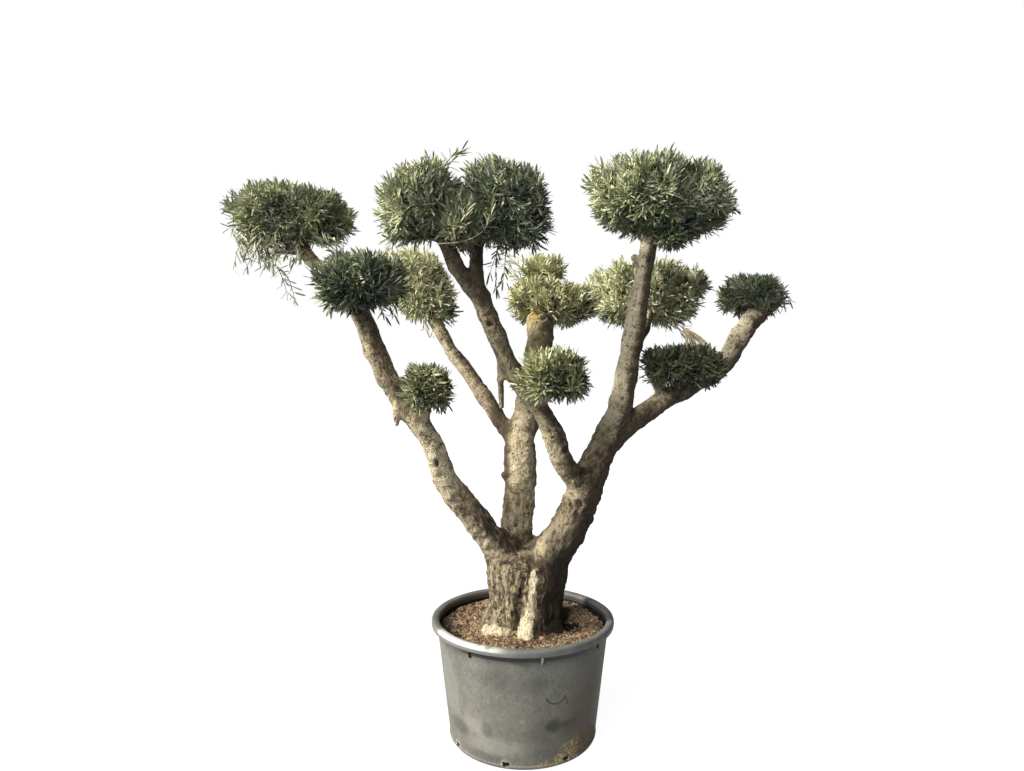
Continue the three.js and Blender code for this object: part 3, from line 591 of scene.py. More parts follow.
# The limb that carries each cloud, the share of its length where the cloud's stem leaves it, and the cloud's middle
CARRIERS = {
    "foliage_top_right": ("stem_right", 1.0, (722, -130, 2882)),
    "foliage_top_left": ("bough_front_left", 1.0, (-500, -420, 2788)),
    "foliage_top_middle": ("bough_front_right", 1.0, (-94, -360, 2792)),
    "foliage_left_high": ("bough_left_high", 1.0, (-1236, -100, 2814)),
    "foliage_left_mid": ("stem_left", 1.0, (-814, -400, 2402)),
    "foliage_back_left": ("bough_back_left", 1.0, (-640, 600, 2518)),
    "foliage_back_centre": ("stem_centre", 1.0, (200, 550, 2420)),
    "foliage_back_right": ("bough_right_back", 1.0, (766, 420, 2452)),
    "foliage_far_right": ("bough_right_outer", 0.62, (1352, 215, 2414)),
    "foliage_right_low": ("spur_right_low", 1.0, (893, -40, 1998)),
    "foliage_front_centre": ("spur_front_centre", 1.0, (140, -480, 1942)),
    "foliage_left_low": ("spur_left_low", 1.0, (-498, -222, 1884)),
    "foliage_left_hanging": ("bough_left_high", 0.88, (-1352, -120, 2606)),
}
SIDE_STEM = 0.020
STEM_TAPER = (1.0, 0.98, 0.80, 0.62, 0.45)
BARK_VOXEL = 0.0086
RING_STEP = 0.018
TRUNK_END = 1.0
FORK_Z = 1.03


def smooth_line(points, step):
    """Evenly spaced points on a smooth curve through the given ones, and its length."""
    given = [Vector(p) for p in points]
    given = [given[0] * 2 - given[1], *given, given[-1] * 2 - given[-2]]
    dense = []
    for a, b, c, d in zip(given, given[1:], given[2:], given[3:]):
        gaps = [max(math.sqrt((q - p).length), 1e-4) for p, q in ((a, b), (b, c), (c, d))]
        first = ((b - a) / gaps[0] - (c - a) / (gaps[0] + gaps[1]) + (c - b) / gaps[1]) * gaps[1]
        second = ((c - b) / gaps[1] - (d - b) / (gaps[1] + gaps[2]) + (d - c) / gaps[2]) * gaps[1]
        for k in range(16):
            t = k / 16
            dense.append(b + first * t + (c * 3 - b * 3 - first * 2 - second) * t * t
                         + (b * 2 - c * 2 + first + second) * t * t * t)
    dense.append(given[-2])
    lengths = np.concatenate(([0.0], np.cumsum([(q - p).length for p, q in zip(dense, dense[1:])])))
    count = max(3, round(lengths[-1] / step))
    wanted = np.linspace(0.0, lengths[-1], count + 1)
    table = np.array([tuple(p) for p in dense])
    return np.stack([np.interp(wanted, lengths, table[:, k]) for k in range(3)], axis=1), lengths[-1]


def shared_out(values, count):
    """Values spread evenly over a count of rings."""
    return np.interp(np.linspace(0, 1, count), np.linspace(0, 1, len(values)), values)


def unit(rows, guard=0.0):
    """Rows brought to length 1. The guard keeps an empty row from a division by 0."""
    return rows / (np.linalg.norm(rows, axis=-1, keepdims=True) + guard)


def carried_frames(line):
    """Directions along a line, and two across it that turn as little as they can."""
    along = unit(np.gradient(line, axis=0))
    side = Vector((0.0, 1.0, 0.0)).cross(Vector(along[0]))
    sides = []
    for direction in along:
        here = Vector(direction)
        side = (side - here * side.dot(here)).normalized()
        sides.append(tuple(side))
    sides = np.array(sides)
    return along, sides, np.cross(along, sides)


def limb_tube(line, radii, turns, wave, phase):
    """Vertices and faces of a closed tapering tube."""
    _, sides, others = carried_frames(line)
    turn = np.linspace(0, 2 * np.pi, turns, endpoint=False)
    share = np.linspace(0, 1, len(line))[:, None]
    lobes = 1 + sum(wave * np.sin(count * turn[None] + phase + twist * share) for count, twist in LIMB_LOBES)
    out = radii[:, None] * lobes
    rings = (line[:, None] + sides[:, None] * (np.cos(turn) * out)[..., None]
             + others[:, None] * (np.sin(turn) * out)[..., None])
    return [*rings.reshape(-1, 3), line[0], line[-1]], ring_faces(len(line), turns)


def toe_reach(turn):
    """How far the root toes stand out of the trunk's foot, at a turn."""
    total = 0.0
    for degrees, out, spread in TOES:
        apart = abs((math.degrees(turn) - degrees + 540) % 360 - 180)
        total += out * math.exp(-((apart / spread) ** 2))
    return total


def trunk_form(turns, steps):
    """Vertices and faces of the trunk, flat underneath, flared at the foot and wider again under the fork."""
    tall = TRUNK_TOP - SOIL_LEVEL
    vertices = []
    for step in range(steps + 1):
        share = step / steps
        half = float(np.interp(share, np.linspace(0, 1, len(TRUNK_HALF_WIDTHS)), TRUNK_HALF_WIDTHS))
        fade = max(0.0, 1 - share * tall / TOE_HEIGHT) ** 2
        deep = 1 + (TRUNK_DEPTH_SHARE - 1) * share
        middle = TRUNK_SHIFT + TRUNK_LEAN * share
        for k in range(turns):
            turn = 2 * math.pi * k / turns
            ridges = 1 + sum(size * math.sin(count * turn + start + twist * share)
                             for count, size, start, twist in TRUNK_RIDGES)
            out = half * ridges + toe_reach(turn) * fade
            vertices.append((middle + math.cos(turn) * out, math.sin(turn) * out * deep, SOIL_LEVEL + share * tall))
    vertices += [(TRUNK_SHIFT, 0.0, SOIL_LEVEL), (TRUNK_SHIFT + TRUNK_LEAN, 0.0, TRUNK_TOP)]
    return vertices, ring_faces(steps + 1, turns)


limb_lines = {}
wood_forms = [trunk_form(96, 54)]
beads = []
for name, (points, radii) in LIMBS.items():
    line, length = smooth_line([Vector(p) / 1000 for p in points], RING_STEP)
    widths = shared_out([r / 1000 for r in radii], len(line))
    limb_lines[name] = (line, widths)
    wood_forms.append(limb_tube(line, widths, 28 if widths[0] > 0.045 else 18, LIMB_WAVE, points[0][2]))
    for k, (spot, width, *directions) in enumerate(zip(line, widths, *carried_frames(line))):
        beads.append((name, Vector(spot), float(width), *map(Vector, directions), length * k / (len(line) - 1)))
cloud_stems = {}
for name, (limb, share, middle) in CARRIERS.items():
    line, widths = limb_lines[limb]
    start = round(share * (len(line) - 1))
    before = line[max(0, start - 3)]
    width = widths[start] if share == 1.0 else SIDE_STEM
    onward = (line[start] - before) / np.linalg.norm(line[start] - before)
    middle = np.array(middle) / 1000
    bend = line[start] + onward * np.linalg.norm(middle - line[start]) * 0.4
    stem_line, _ = smooth_line([before, line[start], (line[start] + 2 * bend + middle) / 4, middle], RING_STEP)
    wood_forms.append(limb_tube(stem_line, shared_out([width * k for k in STEM_TAPER], len(stem_line)), 18, 0.02, 1.0))
    cloud_stems[name] = (line[start], bend, middle)
for *at, size in KNOBS:
    at = Vector(at)
    knot = bmesh.new()
    bmesh.ops.create_icosphere(knot, subdivisions=3, radius=size / 1000)
    for v in knot.verts:
        v.co = v.co * (1 + 0.16 * noise.noise(v.co * 60 + at * 0.01)) + at / 1000
    wood_forms.append(([v.co.copy() for v in knot.verts], [[v.index for v in f.verts] for f in knot.faces]))
    knot.free()

limb_number = {name: number for number, name in enumerate(LIMBS)}
bead_tree = kdtree.KDTree(len(beads))
for k, bead in enumerate(beads):
    bead_tree.insert(bead[1], k)
bead_tree.balance()


def olive_bark():
    """Grey-tan bark, dark in its cracks, bare at the foot, with painted light on faces turned left and painted shade on
    faces turned right.
    """
    finish = Finish("olive_bark")
    where = finish.place()
    upright = finish.place((1.0, 1.0, 0.4))
    x, y, z = finish.axes(where)
    run = finish.node("ShaderNodeAttribute", {"attribute_name": "run"}, {}, "Vector")
    bare, old, lichen_and_painted_light, scar, seam, side = (finish.node("ShaderNodeAttribute", {"attribute_name": name}, {}, "Fac")
                                           for name in ("bare", "old", "lichen_and_painted_light", "scar", "seam", "side"))

    def along_limbs(*grain):
        """Grain that follows each limb, and stands upright where two of them meet."""
        follows = finish.grain(run, *grain)
        return follows + (finish.grain(upright, *grain) - follows) * seam

    broad = finish.grain(where, 6.0, 4.0, 0.6)
    patches = finish.grain(where, 26.0, 6.0, 0.66)
    blocks = finish.grain(upright, 17.0, 4.0, 0.62)
    flakes = along_limbs(54.0, 5.0, 0.74)
    cracks = along_limbs(92.0, 4.0, 0.70)
    fine = finish.grain(where, 150.0, 3.0, 0.75)
    pits = finish.grain(where, 52.0, 2.0, 0.6)
    blotched = finish.grain(run, 11.0, 4.0, 0.70)
    scabs = finish.grain(run, 21.0, 5.0, 0.76)
    across = finish.stretched(run, (0.5, 0.5, 6.0))
    wrinkles = finish.grain(across, 26.0, 4.0, 0.66)
    young = finish.layers(
        finish.mix(patches.rise(0.42, 0.57), (0.300, 0.228, 0.124), (0.760, 0.640, 0.405)),
        (broad.rise(0.50, 0.38) * 0.50, (0.225, 0.172, 0.108)),
        (flakes.rise(0.53, 0.60) * patches.rise(0.40, 0.52) * 0.92, (0.078, 0.053, 0.030)),
        (blocks.rise(0.56, 0.61) * 0.72, (0.112, 0.078, 0.045)),
        (blotched.rise(0.55, 0.63) * 0.62, (0.110, 0.074, 0.040)),
        (scabs.rise(0.580, 0.625) * 0.88, (0.066, 0.043, 0.024)),
        (wrinkles.rise(0.55, 0.61) * 0.60, (0.125, 0.088, 0.050)))
    rough = finish.layers(
        finish.mix(flakes.rise(0.45, 0.56), (0.040, 0.025, 0.013), (0.450, 0.352, 0.214)),
        (broad.rise(0.50, 0.66) * flakes.rise(0.46, 0.52) * 0.45, (0.430, 0.362, 0.250)),
        (blocks.rise(0.50, 0.56) * 0.82, (0.034, 0.022, 0.012)))
    wood = finish.layers(
        finish.mix(cracks.rise(0.36, 0.52), (0.300, 0.224, 0.130), (0.800, 0.700, 0.490)),
        (patches.rise(0.58, 0.68) * 0.5, (0.140, 0.098, 0.056)))
    behind = y.rise(-0.055, 0.0) * z.rise(1.04, 1.12) * z.rise(1.90, 1.70)
    broken_x = x + (broad - 0.5) * 0.06 + (patches - 0.5) * 0.09 + (flakes - 0.5) * 0.05
    # The centre stem is darker along its left edge.
    darker_left_edge = behind * broken_x.rise(-0.052, -0.094) * x.rise(-0.22, -0.16)
    # Painted light on faces turned to the left, less on old bark.
    painted_light_left_faces = (side + (broad - 0.5) * 0.5).rise(0.0, -0.45) * (flakes * 0.6 + patches * 0.4).rise(0.40, 0.50)
    painted_light_left_faces = (painted_light_left_faces * (0.76 - 0.58 * old) * (1.0 - darker_left_edge) * (1.0 - 0.4 * behind)
                * (1.0 - 0.5 * blotched.rise(0.54, 0.62)))
    # Painted light on the centre stem, on the left stem and on the right stem's left face.
    painted_light_centre_stem = behind * broken_x.rise(-0.080, -0.040) * x.rise(0.10, 0.05) * patches.rise(0.36, 0.50)
    painted_light_left_stem = ((x + (broad - 0.5) * 0.1).rise(-0.28, -0.38) * z.rise(1.26, 1.44) * z.rise(1.90, 1.60)
                   * (flakes * 0.5 + patches * 0.5).rise(0.42, 0.50))
    painted_light_right_stem = ((side + (broad - 0.5) * 0.4).rise(0.10, -0.25) * x.rise(0.38, 0.44) * z.rise(1.60, 1.74)
                    * patches.rise(0.34, 0.46))
    # Painted shade on faces turned to the right.
    painted_shade_right_faces = (side + (broad - 0.5) * 0.5 + (flakes - 0.5) * 0.35).rise(0.0, 0.44) * x.rise(-0.34, -0.02)
    painted_shade_right_faces = (painted_shade_right_faces * (1.0 - 0.75 * lichen_and_painted_light) * (1.0 - 0.90 * behind * x.rise(0.16, 0.08))
           * (0.56 + 0.24 * x.rise(0.10, 0.40) + 0.22 * x.rise(0.12, 0.22) * z.rise(1.45, 1.25)))
    shaded = (x + (broad - 0.5) * 0.5).rise(0.12, 0.42) * z.rise(1.72, 1.36)
    fork = (z + (broad - 0.5) * 0.2).rise(0.96, 1.04) * z.rise(1.24, 1.12) * patches.rise(0.38, 0.54)
    # Painted shadow of the top left cloud on the front boughs under it.
    painted_cloud_shadow = (z + (patches - 0.5) * 0.2).rise(2.16, 2.34) * y.rise(-0.32, -0.36) * x.rise(-0.66, -0.56)
    # Painted shade on the trunk's right side, low down.
    painted_shade_trunk_right = (x + (patches - 0.5) * 0.10).rise(0.085, 0.170) * z.rise(1.30, 0.95) * y.rise(0.05, -0.10)
    finish.set("Base Color", finish.layers(
        finish.mix((old + (broad - 0.5) * 1.1 + (patches - 0.5) * 0.7).rise(0.36, 0.64), young, rough),
        (painted_light_left_faces, (0.900, 0.780, 0.520)),
        (painted_light_centre_stem * 0.66, (0.850, 0.730, 0.490)),
        (painted_light_left_stem * 0.82, (0.950, 0.835, 0.570)),
        (painted_light_right_stem * 0.70, (0.930, 0.830, 0.600)),
        # Painted light where the lichen grows, with golden and grey lichen over it.
        (lichen_and_painted_light * patches.rise(0.32, 0.46) * 0.85, (0.900, 0.790, 0.520)),
        (lichen_and_painted_light * broad.rise(0.44, 0.54) * side.rise(0.30, -0.20), (0.760, 0.520, 0.150)),
        (lichen_and_painted_light * fine.rise(0.58, 0.70) * 0.6, (0.50, 0.47, 0.33)),
        (cracks.rise(0.47, 0.36) * (0.30 + 0.55 * old), (0.040, 0.026, 0.016)),
        (fine.rise(0.54, 0.68) * 0.45, (0.58, 0.51, 0.38)),
        (fine.rise(0.46, 0.34) * 0.45, (0.075, 0.052, 0.032)),
        (pits.rise(0.60, 0.70) * 0.85, (0.038, 0.025, 0.016)),
        (painted_shade_right_faces, (0.042, 0.028, 0.015)),
        (shaded * 0.50, (0.075, 0.054, 0.030)),
        (darker_left_edge * (0.60 + 0.6 * patches), (0.090, 0.066, 0.038)),
        (fork * side.rise(0.35, 0.0) * 0.74, (0.740, 0.625, 0.420)),
        (painted_cloud_shadow * 0.86, (0.034, 0.024, 0.015)),
        (painted_shade_trunk_right * 0.86, (0.024, 0.016, 0.010)),
        (scar.rise(0.25, 0.75) * 0.9, (0.030, 0.020, 0.013)),
        ((bare + (patches - 0.5) * 0.7 + (cracks - 0.5) * 0.9).rise(0.40, 0.58), wood)))
    finish.set("Roughness", 0.92 - 0.25 * bare)
    hills = cracks * 0.9 + flakes * 1.1 + patches * 0.7 + fine * 0.45 - wrinkles.rise(0.54, 0.64) * (1.0 - old) * 0.35
    hills = hills - pits.rise(0.58, 0.72) * 0.7 - blocks.rise(0.50, 0.60) * old * 0.3
    finish.bump(hills * (1.0 - 0.4 * bare), 0.016)
    return finish.material


# Lines that pale bare wood follows up the trunk, and the dark cleft beside it: x, z and half width in metres
BARE_RIDGE = ((0.000, 0.575, 0.050), (0.016, 0.640, 0.036), (0.034, 0.700, 0.030), (0.048, 0.800, 0.022),
              (0.056, 0.910, 0.016))
BARE_TOES = ((-0.176, 0.588, 0.030), (-0.120, 0.594, 0.036), (-0.065, 0.590, 0.030))
CLEFT = ((-0.048, 0.575, 0.030), (-0.030, 0.690, 0.024), (-0.008, 0.820, 0.012))
CLEFT_DEEP = 0.030
BARE_PROUD = 0.012
# Dark hollows left by lost boughs: middle and size in metres
SCARS = ((0.322, -0.120, 1.418, 0.036), (-0.456, -0.190, 1.484, 0.015), (0.134, -0.285, 1.655, 0.022),
         (0.222, -0.235, 1.560, 0.016), (0.042, -0.180, 0.900, 0.014), (-0.420, -0.175, 1.590, 0.011),
         (0.470, -0.135, 1.560, 0.016), (-0.018, -0.150, 1.030, 0.026), (0.100, 0.120, 1.330, 0.014),
         (-0.170, -0.400, 2.200, 0.014), (0.860, 0.010, 1.830, 0.014))
# The swollen ring round the right stem, just under its cloud
COLLAR_Z = 2.676
COLLAR_FROM = 2.4
COLLAR_TALL = 0.012
COLLAR_PROUD = 0.009
# The share of a length along a limb that the bark's pattern counts, which draws the pattern out
RUN_SHARE = 0.36
# Heights under which the bark is old and coarse, on the right stem and on the others
OLD_RIGHT = 1.74
OLD_OTHERS = 1.42
OLD_FADE = 0.36
LICHEN_FROM = 1.9
LICHEN_FADE = 0.16
# How deep the bark's relief is. Creases and bumps: on young bark, and what old bark adds
LUMPS = 0.0115
DENTS = 0.030
CREASES = (0.0035, 0.0070)
BUMPS = (0.0042, 0.0022)
# How far above and below the fork the joints are healed in full, and over how much more that fades
HEALED_ROUND_FORK = (0.07, 0.14)


def within(value):
    """The value kept between 0 and 1."""
    return max(0.0, min(1.0, value))


def nearness(spot, line):
    """1 on a broken line of x, z and half width, falling to 0 beyond its width."""
    best = 0.0
    for (ax, az, aw), (bx, bz, bw) in zip(line, line[1:]):
        run = within(((spot.x - ax) * (bx - ax) + (spot.z - az) * (bz - az)) / ((bx - ax) ** 2 + (bz - az) ** 2))
        away = math.hypot(spot.x - ax - run * (bx - ax), spot.z - az - run * (bz - az))
        best = max(best, 1 - away / (aw + run * (bw - aw)) * 0.5)
    return best


def crazed(spot):
    """Crossed creases of two sizes."""
    return abs(noise.noise(spot * 30.0)) + 0.5 * abs(noise.noise(spot * 70.0))


wood = piece("bark", *joined(wood_forms), olive_bark())
modified(wood, "skin", "REMESH", mode="VOXEL", voxel_size=BARK_VOXEL, use_smooth_shade=True)
modified(wood, "rounding", "SMOOTH", factor=0.5, iterations=5)
plain(wood)

joints = [(Vector(points[0]) / 1000, radii[0] / 1000) for name, (points, radii) in LIMBS.items()
          if not name.startswith("stem")]
joint_group = wood.vertex_groups.new(name="joints")
for v in wood.data.vertices:
    near = 1 - within((abs(v.co.z - FORK_Z) - HEALED_ROUND_FORK[0]) / HEALED_ROUND_FORK[1])
    for middle, radius in joints:
        near = max(near, 0.55 * min(1.0, 1.6 - (v.co - middle).length / (1.5 * radius + 0.060)))
    if near > 0.02:
        joint_group.add([v.index], min(1.0, near), "REPLACE")
modified(wood, "healed_joints", "SMOOTH", factor=0.7, iterations=90, vertex_group="joints")
plain(wood)
wood.vertex_groups.clear()

skin = wood.data
count = len(skin.vertices)


def read_off(items, field, kind, width):
    """One row of numbers for each of a mesh's items."""
    values = np.empty(len(items) * width, kind)
    items.foreach_get(field, values)
    return values.reshape(-1, width)


spots = read_off(skin.vertices, "co", np.float32, 3)
normals = read_off(skin.vertices, "normal", np.float32, 3)
edges = read_off(skin.edges, "vertices", np.int32, 2)


def evened(values, rounds):
    """Values on the skin's corners, in each round averaged with those of the corners beside them."""
    beside = np.bincount(edges.ravel(), minlength=count)
    for _ in range(rounds):
        total = (np.bincount(edges[:, 0], values[edges[:, 1]], count)
                 + np.bincount(edges[:, 1], values[edges[:, 0]], count))
        values = (values + total / beside) / 2
    return values


beads_at = [beads[bead_tree.find(Vector(spot))[1]] for spot in spots]
limb_at = np.array([-1 if spot[2] < TRUNK_END else limb_number[bead[0]] for spot, bead in zip(spots, beads_at)])
border = np.zeros(count)
border[edges[limb_at[edges[:, 0]] != limb_at[edges[:, 1]]].ravel()] = 1.0
thick_at = evened(np.array([1.0 if spot[2] < TRUNK_END else min(1.0, bead[2] / 0.08)
                            for spot, bead in zip(spots, beads_at)]), 30)
# What the bark's finish reads at each corner: its place along the limb, and shares from 0 to 1
marks = {label: np.zeros(count, np.float32) for label in ("bare", "old", "lichen_and_painted_light", "scar")}
marks["run"] = np.zeros((count, 3), np.float32)
marks["seam"] = np.clip(evened(border, 36) * 9, 0, 1).astype(np.float32)
# Which way each corner faces, from -1 to the left to 1 to the right, for the bark's painted light and shade.
marks["side"] = normals[:, 0].copy()
moved = spots.copy()
for i, (name, middle, radius, along, side, other, travelled) in enumerate(beads_at):
    spot = Vector(spots[i])
    off = spot - middle
    if spot.z < TRUNK_END:
        run = Vector((spot.x, spot.y, spot.z * RUN_SHARE))
    else:
        run = Vector((off.dot(side), off.dot(other), (travelled + off.dot(along)) * RUN_SHARE + limb_number[name]))
    old = within(((OLD_RIGHT if name == "stem_right" else OLD_OTHERS) - spot.z) / OLD_FADE)
    if name == "bough_right_outer":
        old = within((spot.x - 1.22) / 0.14)
    marks["run"][i] = run
    marks["old"][i] = old
    thick = thick_at[i]
    lumps = noise.fractal(spot * 9.0, 0.8, 2.0, 3) * LUMPS * thick
    cracks = crazed(run)
    cracks += (crazed(Vector((spot.x, spot.y, spot.z * 0.4))) - cracks) * marks["seam"][i]
    relief = lumps + (cracks - 0.32) * (CREASES[0] + CREASES[1] * old) * thick
    bumps = noise.fractal(spot * 34.0, 0.9, 2.1, 4) * (BUMPS[0] + BUMPS[1] * old) * thick
    bumps -= max(0.0, noise.noise(spot * 21.0 + Vector((7.0, 3.0, 5.0))) - 0.34) * DENTS * thick
    for x, y, z, size in SCARS:
        away = math.sqrt((spot.x - x) ** 2 + (spot.y - y) ** 2 + ((spot.z - z) / 1.3) ** 2) / size
        if away < 2.4:
            away *= 1 + 0.7 * noise.noise(spot * 45.0)
            marks["scar"][i] = max(marks["scar"][i], min(1.0, 1.5 - away))
            relief += size * (0.20 * math.exp(-((away - 1.6) / 0.5) ** 2) - 0.75 * math.exp(-(away / 0.95) ** 2))
    if name == "stem_right" and spot.z > COLLAR_FROM:
        relief += COLLAR_PROUD * math.exp(-((spot.z - COLLAR_Z) / COLLAR_TALL) ** 2)
    if spot.y < -0.06 and spot.z < TRUNK_END:
        relief -= CLEFT_DEEP * max(0.0, nearness(spot, CLEFT) - 0.5) * 2
        pale = max(nearness(spot, BARE_RIDGE), nearness(spot, BARE_TOES)) + 0.30 * noise.noise(spot * 26.0)
        marks["bare"][i] = within((pale - 0.31) * 2.3)
        relief += BARE_PROUD * marks["bare"][i]
        bumps *= 1 - 0.3 * marks["bare"][i]
    # Lichen on the top of the centre stem, which also takes painted light there.
    if name == "stem_centre" and spot.z > LICHEN_FROM:
        marks["lichen_and_painted_light"][i] = within((spot.z - LICHEN_FROM) / LICHEN_FADE) * within(0.85 - off.x / radius * 0.7)
    moved[i] += normals[i] * (relief + bumps)
moved[:, 2] = np.maximum(moved[:, 2], SOIL_LEVEL)
skin.vertices.foreach_set("co", moved.ravel())
for label, values in marks.items():
    kind, field = ("FLOAT_VECTOR", "vector") if label == "run" else ("FLOAT", "value")
    skin.attributes.new(label, kind, "POINT").data.foreach_set(field, values.ravel())
skin.update()
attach(wood, "root")
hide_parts("trunk", *LIMBS)


# Foliage clouds
# Clipped rounds of olive leaves. Each grows from the tip of its bough: arms, shoots on the arms, and fine sprigs
# on the shoots, with narrow leathery leaves in opposite pairs, dark green above and silvery underneath.
GOLDEN_ANGLE = math.pi * (3 - math.sqrt(5))
SHOOT_FALL = 1.86
SHOOT_JITTER = 0.3
ARM_EVERY = 5
SPRIG_FALL = 1.94
SPRIGS_IN_ALL = 7700
SPRIGS_A_SPRAY = 8
LEAF_LENGTH = 0.063
LEAF_WIDTH = 0.0090
LEAF_THICK = 0.0018
LEAF_PAIRS = 7
LEAF_STEP = 0.021
HOLLOWS = 0.05
LEAF_BEND = LEAF_LENGTH * 0.22
LEAF_SPLAY = (0.90, 0.46)
LEAF_LEAST = 0.80
LEAF_MOST = 1.18
LIMB_CLEARANCE = 0.006
HANGING = 80
# Twigs: their radii at heel and tip, then how many rings and sides
TWIGS = {"arm": (0.0125, 0.005, 7, 5), "shoot": (0.0075, 0.0038, 6, 4), "sprig": (0.0026, 0.0012, 4, 3),
         "hanging": (0.0032, 0.0014, 7, 3), "leggy": (0.004, 0.0014, 8, 3), "crossing": (0.0040, 0.0020, 10, 4)}
# Each cloud: half sizes, tilt, lean, how boxy above and below, shoots,
# tint from about 0 for dark to above 1 for pale, partly painted light and shade, and share of leaves
CLOUDS = {
    "foliage_top_right": ((424, 320, 240), -0.04, -0.1, 3.8, 2.1, 47, 0.84, 1.0),
    "foliage_top_left": ((250, 225, 234), 0.2, 0, 2.2, 2.3, 36, 0.94, 1.0),
    "foliage_top_middle": ((266, 230, 252), -0.14, 0, 2.15, 2.8, 38, 0.40, 1.0),
    "foliage_left_high": ((380, 260, 172), -0.1, 0, 2.6, 2.7, 39, 0.84, 1.0),
    "foliage_left_mid": ((272, 195, 166), 0.08, 0, 3, 3.1, 31, 0.34, 1.0),
    "foliage_back_left": ((250, 220, 296), 0, -0.3, 3, 3.1, 36, 1.50, 0.58),
    "foliage_back_centre": ((340, 260, 182), -0.12, 0, 3, 2.5, 34, 1.12, 0.80),
    "foliage_back_right": ((424, 280, 236), 0, 0, 3, 2.3, 37, 1.26, 0.74),
    "foliage_far_right": ((234, 170, 142), 0, 0, 3, 2.3, 22, 0.70, 0.92),
    "foliage_right_low": ((276, 175, 136), 0, 0, 3, 3.1, 26, -0.08, 0.97),
    "foliage_front_centre": ((208, 165, 150), 0, 0, 3, 3.1, 24, 0.70, 1.0),
    "foliage_left_low": ((168, 135, 142), 0, 0, 3, 3.1, 20, 0.50, 1.0),
    "foliage_left_hanging": ((190, 140, 200), 0, 0, 3, 3.1, 7, 1.25, 0.0),
}
# A smaller round beside a cloud's own: middle, half sizes, its share of the cloud's sprigs, how far above its
# middle, as a share of its height, they start, and how much greener or duller they are, as painted shade under the top
# right cloud
LOBES = {
    "foliage_back_centre": ((150, 560, 2642), (186, 120, 112), 0.22, -0.8, -0.25),
    "foliage_top_left": ((-296, -455, 2690), (165, 140, 160), 0.30, -0.8, 0.0),
    "foliage_top_right": ((772, -190, 2672), (108, 95, 84), 0.07, 0.9, -0.10),
    "foliage_far_right": ((1322, 60, 2436), (170, 110, 96), 0.35, -0.8, -0.15),
}
# Long loose sprigs that leave a cloud: the tip each reaches
LEGGY = {
    "foliage_top_left": ((-306, -400, 3046), (-330, -430, 3020)),
    "foliage_top_middle": ((-138, -320, 2385), (-104, -290, 2430), (-170, -300, 2470)),
    "foliage_left_high": ((-1585, -100, 2880), (-1560, -130, 2850), (-1500, -120, 2680), (-1460, -160, 2665),
                          (-1520, -60, 2700), (-1430, -140, 2670), (-1540, -180, 2725)),
    "foliage_left_mid": ((-700, -330, 2250), (-660, -300, 2262), (-720, -280, 2275), (-640, -350, 2290),
                         (-1010, -400, 2590), (-970, -430, 2600), (-935, -380, 2610)),
    "foliage_left_hanging": ((-1222, -120, 2353), (-1262, -130, 2395)),
    "foliage_back_left": ((-560, 500, 2235), (-520, 520, 2260), (-600, 480, 2250)),
    "foliage_back_centre": ((-71, 500, 2700), (-40, 470, 2660), (-90, 520, 2640), (-20, 560, 2715),
                            (-60, 480, 2590), (-30, 520, 2570)),
    "foliage_back_right": ((999, 300, 2212), (960, 330, 2222), (640, 330, 2222)),
    "foliage_far_right": ((1570, 215, 2400), (1545, 240, 2375)),
}
# Sprigs that cross in front of others or break off below them: start, bend and tip, leaf pairs, gap and tint
CROSSING = {
    "foliage_top_left": (((-404, -560, 2556), (-150, -606, 2540), (-150, -604, 2720), 7, 0.022, 3),
                         ((-350, -590, 2640), (-300, -612, 2600), (-262, -606, 2700), 5, 0.026, 4)),
    "foliage_back_right": (((660, 60, 2262), (780, -10, 2290), (884, -30, 2208), 2, 0.070, 2),),
}
TINTS = {
    "leaf_deep": (0.033, 0.048, 0.035), "leaf_green": (0.110, 0.148, 0.070), "leaf_grey": (0.268, 0.310, 0.184),
    "leaf_yellow": (0.460, 0.495, 0.238), "leaf_pale": (0.730, 0.735, 0.485),
}
# Where a leaf's tone, painted light included, passes from one tint to the next, and how far sprays stray in dark and in
# pale clouds
TINT_STEPS = (0.22, 0.46, 0.74, 1.02)
UNEVEN = (0.32, 0.52)
UNDERSIDE = (0.400, 0.445, 0.325)
# Clouds whose leaves are duller or paler underneath than the others', partly painted light and shade: duller on the low
# right clouds, paler on the others
UNDERSIDES_WITH_PAINTED_LIGHT = {
    "foliage_right_low": (0.150, 0.155, 0.080), "foliage_far_right": (0.240, 0.265, 0.200),
    "foliage_back_left": (0.770, 0.775, 0.520), "foliage_back_centre": (0.660, 0.655, 0.380),
    "foliage_back_right": (0.720, 0.730, 0.510), "foliage_front_centre": (0.430, 0.415, 0.230),
    "foliage_left_low": (0.500, 0.495, 0.290),
}


def seeded(seed):
    """Numbers from 0 to 1, the same each run, as the solids' shoots use them."""
    state = int(seed) % 4294967296
    while True:
        state = (state * 1664525 + 1013904223) % 4294967296
        yield state / 4294967296


def ways_round(count, fall, random):
    """Directions spread evenly from straight up to nearly straight down, each a golden angle on."""
    ways = []
    for k in range(count):
        rise = 1 - fall * (k + 0.5) / count
        turn = k * GOLDEN_ANGLE + next(random) * SHOOT_JITTER
        flat = math.sqrt(max(0.0, 1 - rise * rise))
        ways.append((flat * math.cos(turn), flat * math.sin(turn), rise))
    return np.array(ways)


def lengths_of(rows):
    """The length of each row, as a column."""
    return np.linalg.norm(rows, axis=1)[:, None]


def gaps_between(spots, others):
    """How far each spot lies from each of the others."""
    return np.linalg.norm(spots[:, None] - others[None], axis=2)


